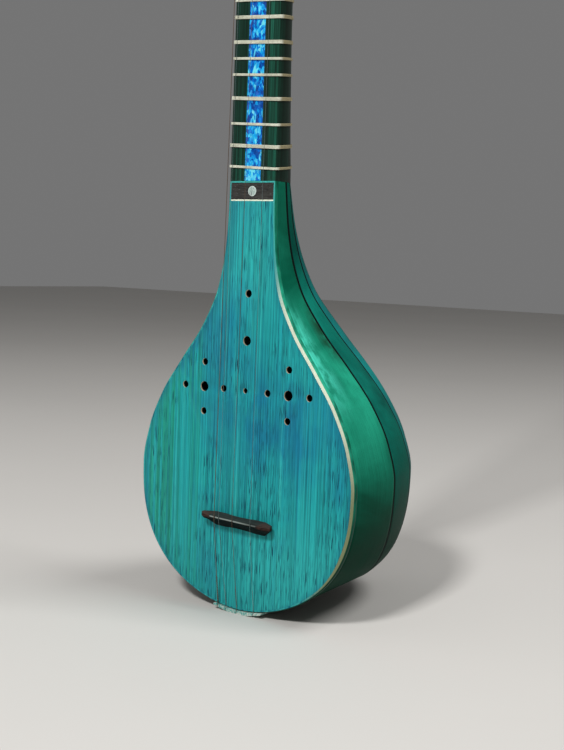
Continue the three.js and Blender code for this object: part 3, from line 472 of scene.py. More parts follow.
class Field:
    """A value or colour that varies over a piece, for patterns written with plain signs."""

    def __init__(self, finish, socket):
        self.finish = finish
        self.socket = socket

    def math(self, operation, *others):
        return self.finish.node("Math", enumerate((self, *others)), operation=operation)

    def __add__(self, other):
        return self.math("ADD", other)

    def __sub__(self, other):
        return self.math("SUBTRACT", other)

    def __mul__(self, other):
        return self.math("MULTIPLY", other)

    def __abs__(self):
        return self.math("ABSOLUTE")

    def range(self, low, high, to_low=0.0, to_high=1.0, smooth=True):
        """Moves the span from low to high onto another one."""
        return self.finish.node("MapRange", [
            ("Value", self), ("From Min", low), ("From Max", high), ("To Min", to_low), ("To Max", to_high)],
            interpolation_type="SMOOTHSTEP" if smooth else "LINEAR")

    def ramp(self, *stops):
        """Colour ramp with stops of (place, colour)."""
        colours = self.finish.node("ValToRGB", [("Fac", self)])
        elements = colours.socket.node.color_ramp.elements
        while len(elements) < len(stops):
            elements.new(0.5)
        for element, (place, colour) in zip(elements, stops):
            element.position = place
            element.color = (*colour, 1)
        return colours

    def over(self, mask, colour):
        """This colour, with another one laid over it where the mask is 1."""
        return self.finish.blend(mask, self, colour)

    def shaded(self, streaks, low, high, light, dark):
        """This colour, made lighter and darker by streaks."""
        return self.finish.blend(1.0, self, streaks.range(low, high, light, dark, smooth=False), "MULTIPLY")


class Finish:
    """Builds one procedural material, node by node."""

    def __init__(self, name, roughness, gloss=0.5, **sockets):
        self.material = bpy.data.materials.new(name)
        self.material.use_nodes = True
        self.tree = self.material.node_tree
        self.set(Roughness=roughness, Specular_IOR_Level=gloss, **sockets)

    def feed(self, socket, value):
        """Links a field to a socket, or sets the socket to a value."""
        if isinstance(value, Field):
            self.tree.links.new(value.socket, socket)
        else:
            socket.default_value = (*value, 1) if socket.type == "RGBA" else value

    def set(self, **sockets):
        """Feeds sockets of the shader, and gives the material."""
        shader = self.tree.nodes["Principled BSDF"]
        for key, value in sockets.items():
            self.feed(shader.inputs[key.replace("_", " ")], value)
        return self.material

    def node(self, kind, inputs=(), output=0, **settings):
        """Adds a node, feeds its inputs and gives one of its outputs."""
        node = self.tree.nodes.new("ShaderNode" + kind)
        for key, value in settings.items():
            setattr(node, key, value)
        for slot, value in inputs:
            self.feed(node.inputs[slot], value)
        return Field(self, node.outputs[output])

    def place(self, stretch, shift=(0, 0, 0), source="Object"):
        """Coordinates of the piece, stretched to the size of a pattern."""
        coordinates = self.node("TexCoord", output=source)
        return self.node("Mapping", [("Vector", coordinates), ("Scale", stretch), ("Location", shift)])

    def noise(self, stretch, detail, roughness=0.5, shift=(0, 0, 0), source="Object", distortion=0.0):
        return self.node("TexNoise", [
            ("Vector", self.place(stretch, shift, source)), ("Scale", 1.0), ("Detail", detail),
            ("Roughness", roughness), ("Distortion", distortion)], "Fac")

    def cells(self, stretch, shift):
        """Random colour of each cell of a cracked pattern."""
        return self.node("TexVoronoi", [("Vector", self.place(stretch, shift)), ("Scale", 1.0)], "Color")

    def axis(self, letter, source="Object"):
        coordinates = self.node("TexCoord", output=source)
        return self.node("SeparateXYZ", [("Vector", coordinates)], letter)

    def blend(self, mask, a, b, kind="MIX"):
        slots = [("Factor", mask), (6, a), (7, b)]
        return self.node("Mix", slots, output=2, data_type="RGBA", blend_type=kind)

    def vector(self, operation, *inputs):
        return self.node("VectorMath", inputs, operation=operation)

    def done(self, colour, height, distance, strength, **sockets):
        """Gives the shader its colour and a relief, and gives the material."""
        relief = self.node("Bump", [("Height", height), ("Distance", distance), ("Strength", strength)])
        return self.set(Base_Color=colour, Normal=relief, **sockets)


def plain_finish(name, stretch, stops, roughness, bump=None, source="Object", **sockets):
    """Material with one soft pattern between two colours."""
    paint = Finish(name, roughness, **sockets)
    pattern = paint.noise(stretch, 3, source=source)
    colour = pattern.ramp(*stops)
    return paint.done(colour, pattern, *bump) if bump else paint.set(Base_Color=colour)


def face_finish(colours):
    """Dyed, varnished straight-grained wood: fine streaks, cloudy dye, short dark pores, darker edges, and painted
    light along the throat and low on the right.
    """
    wood = Finish("face_wood", 0.46, 0.1)
    streaks = wood.noise((1000, 1, 8), 4, 0.65)
    bands = wood.noise((340, 1, 3.4), 4, 0.68, shift=(3, 0, 7))
    clouds = wood.noise((15, 1, 9), 4, 0.6, shift=(1.7, 0, 4.2), distortion=0.3)
    base = clouds.ramp((0.38, colours.face_teal), (0.5, colours.face_teal), (0.7, colours.face_blue))
    base = base.over(bands.range(0.52, 0.72, 0, 0.62), colours.face_blue)
    base = base.over(bands.range(0.47, 0.33, 0, 0.4), colours.face_light)
    base = base.over(blue_patch(wood), colours.face_blue)
    # painted light along the throat and low on the right
    base = base.over(painted_light_ends(wood), colours.face_light)
    left = wood.axis("X").range(-0.012, -0.055, 0, 0.68)
    green = wood.noise((420, 1, 4), 3, shift=(9, 0, 1)).range(0.40, 0.60)
    base = base.over(left * green, colours.face_green).shaded(streaks, 0.3, 0.72, 1.54, 0.48)
    pores = wood.noise((2300, 1, 85), 1, shift=(0, 0, 3))
    density = wood.noise((34, 1, 13), 3, shift=(5, 0, 5))
    pits = pores.range(0.57, 0.64) * density.range(0.38, 0.58, 0.15, 1.0)
    base = base.over(pits, colours.face_pore)
    base = base.over(face_edge(wood) * bands.range(0.3, 0.7, 0.25, 0.9), colours.face_edge)
    return wood.done(base, streaks * 0.6 - pits, 0.00012, 0.5, Roughness=streaks.range(0.3, 0.7, 0.4, 0.54))


def blue_patch(wood):
    """Bluer patch right of the middle, from the holes down towards the bridge."""
    across, along = abs(wood.axis("X") - 0.022), abs(wood.axis("Z") - 0.112)
    ragged = wood.noise((60, 1, 22), 4, 0.6, shift=(2, 0, 8))
    return across.range(0.04, 0.01) * along.range(0.045, 0.012) * ragged.range(0.4, 0.62, 0.15, 0.9)


def painted_light_ends(wood):
    """Painted light on the face: paler along the throat, and low on the right."""
    x, z = wood.axis("X"), wood.axis("Z")
    low = z.range(0.075, 0.03, 0, 0.34) * x.range(-0.045, 0.035, 0.3, 1)
    return z.range(0.165, 0.21, 0, 0.3).math("MAXIMUM", low)


def face_edge(wood):
    """0 in the middle of the face, rising to 0.8 along its outline, whose half widths are a curve over height."""
    up = wood.axis("Z").range(BODY_BOTTOM, JOINT, smooth=False)
    half = wood.node("FloatCurve", [("Value", up)])
    mapping = half.socket.node.mapping
    points = mapping.curves[0].points
    count = 14
    for n in range(1, count):
        share = (n / count) ** 1.6
        points.new(share, face_half_width(mix(BODY_BOTTOM, JOINT, share)) / BODY_HALF_WIDTH)
    points[0].location = (0, 0.08)
    points[len(points) - 1].location = (1, NECK_HALF_AT_JOINT / BODY_HALF_WIDTH)
    mapping.update()
    away = half * BODY_HALF_WIDTH - abs(wood.axis("X"))
    return away.range(0.009, 0.0005, 0, 0.8)


def hole_wall_finish(colours):
    """Wall of a sound hole: bare wood at the rim, and painted shade deeper within."""
    wood = Finish("hole_wall", 0.8, 0.1)
    depth = wood.axis("Y") + wood.noise((600, 600, 600), 2) * 0.0006
    # painted shade: the wall turns black about a millimetre in
    return wood.set(Base_Color=wood.blend(depth.range(0.0007, 0.0014), colours.bare_light, colours.black))


def stave_finish(number, light, deep, colours):
    """Dyed, varnished bent wood whose grain runs along the stave.

    The dark colour at its ends, low on the bowl and at the throat, is painted shade.
    """
    wood = Finish(f"stave_wood_{number}", 0.42, 0.01)
    seed = number * 3.7
    fibres = wood.noise((95, 5, 1), 4, 0.65, (seed, 0, 0), "UV")
    clouds = wood.noise((22, 15, 18), 4, 0.55, (seed, 2, 0), distortion=0.6)
    between = [mix(a, b, 0.55) for a, b in zip(deep, light)]
    base = clouds.ramp((0.34, deep), (0.5, between), (0.66, light))
    # painted highlight at the bowl's shoulder, on the first stave
    if number == 1:
        base = base.over(shoulder_highlight(wood), colours.stave_highlight)
    z = wood.axis("Z")
    # painted shade: the stave darkens low on the bowl and at the throat
    ends = z.range(*LOW_SHADE).math("MAXIMUM", z.range(*THROAT_SHADE))
    base = base.over(ends, colours.stave_shade_and_pores).shaded(fibres, 0.3, 0.7, 1.22, 0.74)
    pores = wood.noise((260, 60, 1), 1, shift=(seed, 0, 0), source="UV")
    base = base.over(pores.range(0.64, 0.72, 0, 0.6), colours.stave_shade_and_pores)
    if number == 1:
        base = base.over(stain_patch(wood), colours.stain)
    return wood.done(base, fibres + clouds * 6.0, 0.00012, 0.35, Roughness=clouds.range(0.3, 0.7, 0.36, 0.5))


def shoulder_highlight(wood):
    """Painted highlight beside the face at the bowl's shoulder."""
    ragged = wood.noise((110, 110, 45), 4, 0.6, (1, 4, 2))
    near = abs(wood.axis("Z") - 0.155).range(0.04, 0.008)
    return near * wood.axis("X", "UV").range(0.55, 0.1) * ragged.range(0.36, 0.6, 0.1, 0.85)


def stain_patch(wood):
    """Dark patch beside the first seam, at the bowl's shoulder."""
    ragged = wood.noise((70, 70, 90), 3, 0.6)
    near = abs(wood.axis("Z") - 0.166).range(0.022, 0.003)
    return near * wood.axis("X", "UV").range(0.5, 0.95) * ragged.range(0.34, 0.56) * 0.85


def binding_finish(colours):
    """Edging: a cream line on the right, dyed like the face elsewhere, and like the staves outside, with their
    painted shade.
    """
    strip = Finish("binding_cream", 0.4, 0.08)
    x, y, z = (strip.axis(letter) for letter in "XYZ")
    mottle = strip.noise((160, 160, 60), 3, 0.6)
    line = mottle.ramp((0.35, colours.cream), (0.7, colours.cream_dark))
    line = line.over(z.range(0.135, 0.07), colours.olive)
    line = line.over(z.range(0.178, 0.215), colours.binding_teal)
    dyed = strip.noise((500, 500, 12), 3).ramp((0.35, colours.face_light), (0.65, colours.face_edge))
    right = x.range(0.012, 0.03) * z.range(0.012, 0.03)
    throat = z.range(0.2, 0.22) * x.range(0, 0.002)
    base = dyed.over(right.math("MAXIMUM", throat), line)
    under_plate = z.math("COMPARE", mix(BOARD_TOP, PLATE_LOW, 0.5), 0.0006)
    inside = abs(x).math("LESS_THAN", PLATE_HALF_WIDTH)
    base = base.over(under_plate * inside, colours.cream)
    base = base.over(z.range(PLATE_HIGH - 0.0001, PLATE_HIGH + 0.0001), colours.binding_teal)
    outside = strip.blend(mottle.range(0.35, 0.65), colours.stave_light, colours.stave_deep)
    # painted shade on the outside, low down and at the throat, as on the staves
    for shade in (LOW_SHADE, THROAT_SHADE):
        outside = outside.over(z.range(*shade), colours.stave_shade_and_pores)
    return strip.done(base.over(y.range(0.00002, 0.0002), outside), mottle, 0.0001, 0.3)


def plate_finish(colours):
    """Dark close-grained wood with fine pale specks."""
    wood = Finish("plate_wood", 0.5, 0.3)
    streaks = wood.noise((70, 1, 900), 4, 0.6)
    specks = wood.noise((500, 1, 1700), 1)
    pores = wood.noise((160, 1, 1500), 1, shift=(2, 0, 4))
    base = streaks.ramp((0.35, colours.plate_dark), (0.6, colours.plate_brown), (0.78, colours.plate_red))
    base = base.over(pores.range(0.58, 0.66, 0, 0.8), colours.black)
    base = base.over(specks.range(0.64, 0.72, 0, 0.5), colours.pearl_grey)
    return wood.done(base, streaks, 0.0001, 0.4)


def dot_finish(colours):
    """Mother-of-pearl: grey swirl with a lighter rim."""
    pearl = Finish("pearl_white", 0.25, Coat_Weight=0.4, Coat_Roughness=0.1)
    waves = pearl.noise((380, 1, 240), 3, distortion=2.0)
    swirl = waves.ramp((0.34, colours.pearl_grey), (0.46, colours.pearl_light), (0.58, colours.pearl_green),
                       (0.7, colours.pearl_light))
    up = pearl.axis("Z") - PLATE_MIDDLE
    away = (pearl.axis("X").math("POWER", 2.0) + up.math("POWER", 2.0)).math("SQRT")
    rim = away.range(0.72 * DOT_RADIUS, 0.95 * DOT_RADIUS, 0, 0.7)
    return pearl.set(Base_Color=swirl.over(rim, colours.pearl_rim))


def neck_finish(colours, name="neck_wood"):
    """Dark dyed wood: lighter green streaks on the front, almost black on the sides."""
    wood = Finish(name, 0.38, 0.12, Coat_Weight=0.04, Coat_Roughness=0.2)
    streaks = wood.noise((300, 300, 5), 4, 0.65)
    fine = wood.noise((1600, 1600, 30), 2, shift=(4, 2, 0))
    base = streaks.ramp((0.3, colours.neck_black), (0.46, colours.neck_dark), (0.58, colours.neck_green),
                        (0.7, colours.neck_light))
    behind = wood.axis("Y").range(-0.0001, 0.0004, 0, 0.85)
    base = base.shaded(fine, 0.3, 0.7, 1.25, 0.7).over(behind, colours.neck_black)
    return wood.done(base, streaks, 0.0001, 0.3)


def inlay_finish(colours):
    """Blue flaked strip: angular flakes from cobalt to pale cyan, each tilted its own way."""
    flakes = Finish("pearl_blue", 0.25, 0.2, Coat_Weight=0.1, Coat_Roughness=0.1)
    warp = flakes.noise((160, 160, 160), 2)
    big, small = flakes.cells((330, 200, 190), (0.3, 0, 0.1)), flakes.cells((720, 300, 420), (2, 0, 5))
    red = flakes.node("SeparateColor", [("Color", big)], "Red")
    green = flakes.node("SeparateColor", [("Color", small)], "Green")
    share = red * 0.55 + green * 0.45 + (warp - 0.5) * 0.8
    base = share.ramp((0.22, colours.inlay_deep), (0.46, colours.inlay_blue), (0.66, colours.inlay_sky),
                      (0.88, colours.inlay_ice))
    tilt = flakes.vector("SUBTRACT", (0, small), (1, (0.5, 0.5, 0.5)))
    tilt = flakes.vector("SCALE", (0, tilt), ("Scale", 0.55))
    flat = flakes.node("NewGeometry", output="Normal")
    turned = flakes.vector("ADD", (0, flat), (1, tilt))
    return flakes.set(Base_Color=base, Normal=flakes.vector("NORMALIZE", (0, turned)))


def gut_finish(colours):
    """Gut: whitish in front, where fingers rub it, and tan behind."""
    gut = Finish("gut", 0.5, 0.3)
    front = gut.noise((90, 90, 300), 3).ramp((0.35, colours.gut_white), (0.7, colours.gut_light))
    base = front.over(gut.axis("Y").range(0.0004, 0.003), colours.gut_dark)
    return gut.done(base, gut.noise((1500, 1500, 5000), 2), 0.00008, 0.4)


def bridge_finish(colours):
    """Almost black wood: grey-green towards the neck as painted light, black on the tail side as painted shade, a
    painted highlight along the crest, and redder ends above it.
    """
    wood = Finish("bridge_wood", 0.5, 0.03)
    streaks = wood.noise((60, 700, 700), 4, 0.6)
    x, y, z = (wood.axis(letter) for letter in "XYZ")
    along = z + x * math.tan(BRIDGE_SKEW) - CREST
    # painted light on the neck side, painted shade on the tail side
    upper = streaks.ramp((0.3, colours.bridge_brown), (0.7, colours.bridge_lit))
    lower = streaks.ramp((0.4, colours.bridge_shade), (0.8, colours.bridge_brown))
    base = lower.over(along.range(0.0003, 0.0006), upper)
    # painted highlight along the crest
    worn = abs(along - CREST_LEAN).range(0.0005, 0.0003) * y.range(-0.0083, -0.0086)
    base = base.over(worn * x.range(0.014, 0.004, 0.35, 0.9), colours.bridge_crest_highlight)
    ends = abs(x).range(0.0165, 0.019, 0, 0.6) * along.range(-0.0014, -0.0005)
    base = base.over(ends * streaks.range(0.3, 0.6), colours.bridge_red)
    return wood.done(base, streaks, 0.00015, 0.5)


def tail_finish(colours):
    """Worn strip: bare in small patches, teal dye left between them."""
    strip = Finish("tail_pale", 0.6, 0.2)
    drift = strip.axis("X").range(-0.012, 0.012) * 0.07 - 0.04
    patches = strip.noise((1000, 500, 1000), 4, 0.7) + drift
    base = patches.ramp((0.36, colours.tail_teal), (0.48, colours.tail_mid), (0.58, colours.tail_white))
    return strip.done(base, patches, 0.0002, 0.6)


def metal_finish(name, colour):
    """Drawn wire, a little darker where it is dull."""
    metal = Finish(name, 0.45, Metallic=1.0)
    wear = metal.noise((900, 900, 300), 2)
    return metal.set(Roughness=wear.range(0.3, 0.7, 0.38, 0.55),
                     Base_Color=wear.ramp((0.3, colour), (0.7, [c * 0.7 for c in colour])))


# Settings that a user would change


def tint(description, *default):
    return FloatVectorProperty(description=description, default=default, subtype="COLOR", min=0, max=1)


def size_setting(description, default):
    return FloatProperty(description=description, default=default, unit="LENGTH")


def angle_setting(description, degrees):
    return FloatProperty(description=description, default=math.radians(degrees), subtype="ANGLE")


def power_setting(description, watts):
    return FloatProperty(description=description, default=watts, subtype="POWER")


class SetarColours(bpy.types.PropertyGroup):
    """Colours of the dyes and of the bare materials."""

    face_teal: tint("Main dye of the face", 0.012, 0.275, 0.285)
    face_blue: tint("Bluer dye in patches and bands", 0.007, 0.15, 0.25)
    # also the painted light along the throat and low on the right
    face_light: tint("Lighter bands of the face", 0.04, 0.40, 0.37)
    face_green: tint("Greener bands near the left edge", 0.015, 0.26, 0.155)
    face_pore: tint("Short dark pores", 0.003, 0.04, 0.075)
    face_edge: tint("Dye gathered along the outline", 0.006, 0.12, 0.18)
    stave_light: tint("Light green of the first stave", 0.02, 0.37, 0.23)
    stave_deep: tint("Deep green of the first stave", 0.003, 0.13, 0.075)
    second_light: tint("Light green of the second stave", 0.006, 0.23, 0.17)
    second_deep: tint("Deep green of the second stave", 0.001, 0.088, 0.068)
    back_light: tint("Blue-teal of the back", 0.008, 0.27, 0.25)
    back_deep: tint("Deep blue-teal", 0.003, 0.12, 0.12)
    # painted highlight
    stave_highlight: tint("Pale patch at the bowl's shoulder", 0.07, 0.62, 0.46)
    # painted shade low on the bowl and at the throat, and the dark of the pores
    stave_shade_and_pores: tint("Darkness low on the bowl, at the throat and in the pores", 0.0, 0.024, 0.012)
    stain: tint("Dark brown-green stain", 0.010, 0.035, 0.016)
    # also the painted shade deep in the sound holes, and the plate's pores
    black: tint("Black of the spacers", 0.003, 0.004, 0.004)
    cream: tint("Binding", 0.74, 0.80, 0.64)
    cream_dark: tint("Binding where it is worn", 0.52, 0.58, 0.44)
    olive: tint("Binding low on the face", 0.17, 0.19, 0.10)
    binding_teal: tint("Binding beside the plate", 0.05, 0.36, 0.33)
    bare_light: tint("Undyed wood", 0.62, 0.52, 0.36)
    bare_dark: tint("Undyed wood", 0.38, 0.30, 0.19)
    plate_dark: tint("Throat plate", 0.012, 0.010, 0.009)
    plate_brown: tint("Throat plate", 0.036, 0.036, 0.032)
    plate_red: tint("Throat plate", 0.055, 0.045, 0.038)
    pearl_grey: tint("Dot", 0.16, 0.20, 0.20)
    pearl_light: tint("Dot", 0.46, 0.54, 0.50)
    pearl_green: tint("Dot", 0.30, 0.42, 0.38)
    pearl_rim: tint("Rim of the dot", 0.66, 0.76, 0.72)
    neck_black: tint("Neck's sides", 0.004, 0.010, 0.006)
    neck_dark: tint("Neck", 0.006, 0.028, 0.018)
    neck_green: tint("Neck's streaks", 0.010, 0.075, 0.048)
    neck_light: tint("Neck's lightest streaks", 0.02, 0.15, 0.10)
    inlay_deep: tint("Cobalt flakes", 0.0, 0.045, 0.26)
    inlay_blue: tint("Blue flakes", 0.0, 0.125, 0.54)
    inlay_sky: tint("Sky-blue flakes", 0.008, 0.40, 0.80)
    inlay_ice: tint("Palest flakes", 0.15, 0.72, 0.86)
    gut_white: tint("Frets in front", 0.62, 0.63, 0.52)
    gut_light: tint("Frets in front, stained", 0.44, 0.44, 0.34)
    gut_dark: tint("Frets at the sides and behind", 0.30, 0.26, 0.15)
    # painted shade on the tail side
    bridge_shade: tint("Bridge, tail side", 0.004, 0.004, 0.004)
    bridge_brown: tint("Bridge", 0.018, 0.017, 0.016)
    # painted light on the neck side
    bridge_lit: tint("Bridge, neck side", 0.040, 0.050, 0.046)
    # painted highlight along the crest
    bridge_crest_highlight: tint("Pale line along the crest", 0.22, 0.26, 0.24)
    bridge_red: tint("Bridge's redder upper ends", 0.075, 0.036, 0.028)
    tail_teal: tint("Dye left on the tail strip", 0.04, 0.28, 0.26)
    tail_mid: tint("Tail strip", 0.17, 0.36, 0.32)
    tail_white: tint("Bare parts of the tail strip", 0.52, 0.56, 0.50)
    bone_light: tint("Nut", 0.75, 0.70, 0.56)
    bone_dark: tint("Nut", 0.55, 0.47, 0.33)
    bronze: tint("Bass and middle strings", 0.20, 0.13, 0.09)
    steel: tint("Plain strings", 0.20, 0.25, 0.25)


class SetarSizes(bpy.types.PropertyGroup):
    """Sizes of the visible surfaces that the frame leaves open."""

    stave_wall: size_setting("Thickness of a stave", 2.4 * MM)
    edge_round: size_setting("Bevel of the staves' edges", 0.25 * MM)
    gut: size_setting("Diameter of a fret's gut", 0.62 * MM)
    gut_lift: size_setting("Gap between gut and neck", 0.1 * MM)
    turn_points: IntProperty(description="Points of one turn of string on a peg", default=28)


class SetarStage(bpy.types.PropertyGroup):
    """Camera, lights and floor."""

    lens: FloatProperty(description="Focal length in millimetres", default=61.54)
    yaw: angle_setting("Turn of the camera to the left", 36.21)
    pitch: angle_setting("Tilt downwards", 5.39)
    roll: angle_setting("Turn round the line of sight", -2.08)
    key: power_setting("Soft light high in front", 36.0)
    fill: power_setting("Weak light from the left", 3.0)
    side: power_setting("Light high on the right", 24.0)
    surround: FloatProperty(description="Strength of the pale surroundings", default=0.22)
    floor: tint("Pale floor", 0.60, 0.58, 0.55)


# Operators


class SETAR_OT_face(bpy.types.Operator):
    """Soundboard with its holes, the binding round it, the throat plate and its pearl dot"""

    bl_idname = "setar.face"
    bl_label = "Face"

    def execute(self, context):
        colours = context.scene.setar_colours
        self.soundboard(colours)
        self.binding(colours)
        self.throat_plate(colours)
        return {"FINISHED"}

    def soundboard(self, colours):
        outline = face_outline(BOARD_TOP - HAIRLINE, binding_width, HAIRLINE)
        board = plate_from_outline(outline, 0, FACE_THICKNESS)
        for x, z, radius in sound_holes():
            boolean(board, rod(radius, 4 * FACE_THICKNESS, (x, FACE_THICKNESS / 2, z), sides=40))
        bevel(board, 0.16 * MM, 50)
        dress(board, "face_board", face_finish(colours), "face_wood", "soundboard")
        board.data.materials.append(hole_wall_finish(colours))
        for polygon in board.data.polygons:
            if abs(polygon.normal.y) < 0.8 and self.in_hole(polygon.center):
                polygon.material_index = 1

    def in_hole(self, centre):
        return any(math.hypot(centre.x - x, centre.z - z) < radius + 0.12 * MM for x, z, radius in sound_holes())

    def binding(self, colours):
        top = JOINT - HAIRLINE
        ring = plate_from_outline(face_outline(top), 0, FACE_THICKNESS)
        round_edges(ring, lambda middle: middle.y < 1e-7 and middle.z < top - 1e-6, RIM_ROUND)
        inner = plate_from_outline(face_outline(BOARD_TOP, binding_width), -FACE_THICKNESS, 3 * FACE_THICKNESS)
        boolean(ring, inner)
        half = PLATE_HALF_WIDTH + HAIRLINE
        boolean(ring, block((-half, -FACE_THICKNESS, PLATE_LOW), (half, 2 * FACE_THICKNESS, PLATE_HIGH)))
        bevel(ring, 0.18 * MM, 50)
        dress(ring, "face_binding", binding_finish(colours), "binding_cream", "binding")

    def throat_plate(self, colours):
        low, high = PLATE_LOW + HAIRLINE, PLATE_HIGH - HAIRLINE
        plate = block((-PLATE_HALF_WIDTH, 0, low), (PLATE_HALF_WIDTH, FACE_THICKNESS, high))
        boolean(plate, rod(DOT_RADIUS + HAIRLINE, 2.5 * MM, (0, 0, PLATE_MIDDLE), sides=72))
        bevel(plate, 0.12 * MM, 50)
        dress(plate, "throat_plate_wood", plate_finish(colours), "plate_wood", "throat_plate")
        dot = rod(DOT_RADIUS, 1.2 * MM, (0, 0.6 * MM, PLATE_MIDDLE), sides=72)
        bevel(dot, 0.15 * MM, 50, segments=3)
        dress(dot, "throat_dot", dot_finish(colours), "pearl_white", "pearl_dot", smooth=40)


class SETAR_OT_bowl(bpy.types.Operator):
    """Nine bent staves of the bowl, and the black spacers between them"""

    bl_idname = "setar.bowl"
    bl_label = "Bowl"

    def execute(self, context):
        colours, sizes = context.scene.setar_colours, context.scene.setar_sizes
        for stave in range(9):
            self.stave(stave, colours, sizes)
        stops = [(0.35, colours.black), (0.75, [c * 2.2 for c in colours.black])]
        black = plain_finish("spacer_black", (30, 8, 1), stops, 0.6, source="UV", gloss=0.02)
        for seam in range(1, 9):
            self.spacer(seam, black, sizes)
        return {"FINISHED"}

    def stave(self, stave, colours, sizes):
        last_turn = math.pi / 2 if stave in (0, 8) else POLE_TURN

        def place(u, v):
            station = bowl_station(1 - v, last_turn)
            edge = spacer_share(stave, station)
            low = 0 if stave == 0 else edge
            high = 1 if stave == 8 else 1 - edge
            return stave_point(stave, mix(low, high, u), station)

        piece = self.bent_sheet(16, place, sizes.stave_wall)
        bevel(piece, sizes.edge_round, 60)
        pairs = ((colours.stave_light, colours.stave_deep), (colours.second_light, colours.second_deep),
                 (colours.back_light, colours.back_deep))
        light, deep = pairs[min(stave, 8 - stave, 2)]
        wood = stave_finish(stave + 1, light, deep, colours)
        dress(piece, f"bowl_stave_{stave + 1}", wood, "stave_wood", f"stave_{stave + 1}", smooth=30)

    def spacer(self, seam, black, sizes):
        def place(u, v):
            station = bowl_station(1 - v, POLE_TURN)
            reach = 0.97 * (2 * u - 1)  # -1 to 1 would fill the seam from stave to stave
            if u < 0.5:
                return stave_point(seam - 1, 1 + spacer_share(seam - 1, station) * reach, station)
            return stave_point(seam, spacer_share(seam, station) * reach, station)

        piece = self.bent_sheet(4, place, sizes.stave_wall)
        dress(piece, f"bowl_spacer_{seam}", black, "spacer_black", f"spacer_{seam}", smooth=30)

    def bent_sheet(self, columns, place, wall):
        """Sheet on the bowl's skin, thickened inwards."""
        piece = grid_sheet(columns, 130, place)
        clean_mesh(piece)
        middle = Vector((0, 0.02, 0.09))  # inside the bowl
        largest = max(piece.data.polygons, key=lambda polygon: polygon.area)
        if (largest.center - middle).dot(largest.normal) < 0:
            edit_all(piece, bpy.ops.mesh.flip_normals)
        apply_modifier(piece, "SOLIDIFY", thickness=wall, offset=-1, use_even_offset=True)
        return piece


class SETAR_OT_neck(bpy.types.Operator):
    """Neck and head in one, with the peg holes, the groove for the inlay and the seat of the nut"""

    bl_idname = "setar.neck"
    bl_label = "Neck"

    def execute(self, context):
        colours = context.scene.setar_colours
        columns = len(neck_section(NUT))
        tenon = [JOINT - TENON_LENGTH, JOINT - TENON_LENGTH / 2, JOINT]
        root_end = JOINT + 60 * MM  # rows are closer below it, where the neck swells
        heights = tenon + [mix(JOINT, root_end, n / 16) for n in range(16)]
        heights += [mix(root_end, NUT, n / 24) for n in range(24)]
        heights += [mix(NUT, HEAD_TOP - 3 * MM, n / 6) for n in range(7)] + [HEAD_TOP]

        def place(u, v):
            row = round(v * (len(heights) - 1))
            z = heights[row]
            loop = neck_section(max(z, JOINT))
            point = loop[round(u * columns) % columns]
            if row < len(tenon):
                return Vector((TENON_WIDTH_SHARE * point.x, TENON_FRONT + TENON_DEPTH_SHARE * point.y, z))
            if row == len(heights) - 1:
                point = point.lerp(Vector((0, HEAD_DEPTH_AT_TOP / 2, z)), 0.22)
            return point

        neck = grid_tube(columns, len(heights) - 1, place)
        clear, half = 20 * MM, GROOVE_HALF_WIDTH
        boolean(neck, block((-half, -4 * MM, JOINT - 4 * MM), (half, GROOVE_DEPTH, NUT - 2.4 * MM)))
        boolean(neck, block((-clear, -4 * MM, NUT - HAIRLINE), (clear, SEAT_DEPTH, NUT + SEAT_HEIGHT)))
        for name, z in PEG_HEIGHTS.items():
            depth, axis = (10 * MM, "Y") if name in FRONT_PEGS else (SIDE_PEG_DEPTH, "X")
            boolean(neck, rod(PEG_HOLE, 60 * MM, (0, depth, z), axis))
        bevel(neck, 0.2 * MM, 42)
        dress(neck, "neck_and_head", neck_finish(colours), "neck_wood", "neck")
        paint(frame["nodes"]["neck_inlay"], inlay_finish(colours))
        nut = copy_of_node("nut")
        bevel(nut, 0.12 * MM, 30)
        bone = plain_finish("nut_bone", (60, 700, 700), [(0.3, colours.bone_light), (0.7, colours.bone_dark)], 0.35,
                            bump=(0.00005, 0.3), Coat_Weight=0.2, Coat_Roughness=0.2)
        dress(nut, "nut_bone_piece", bone, "nut_bone", "nut")
        return {"FINISHED"}


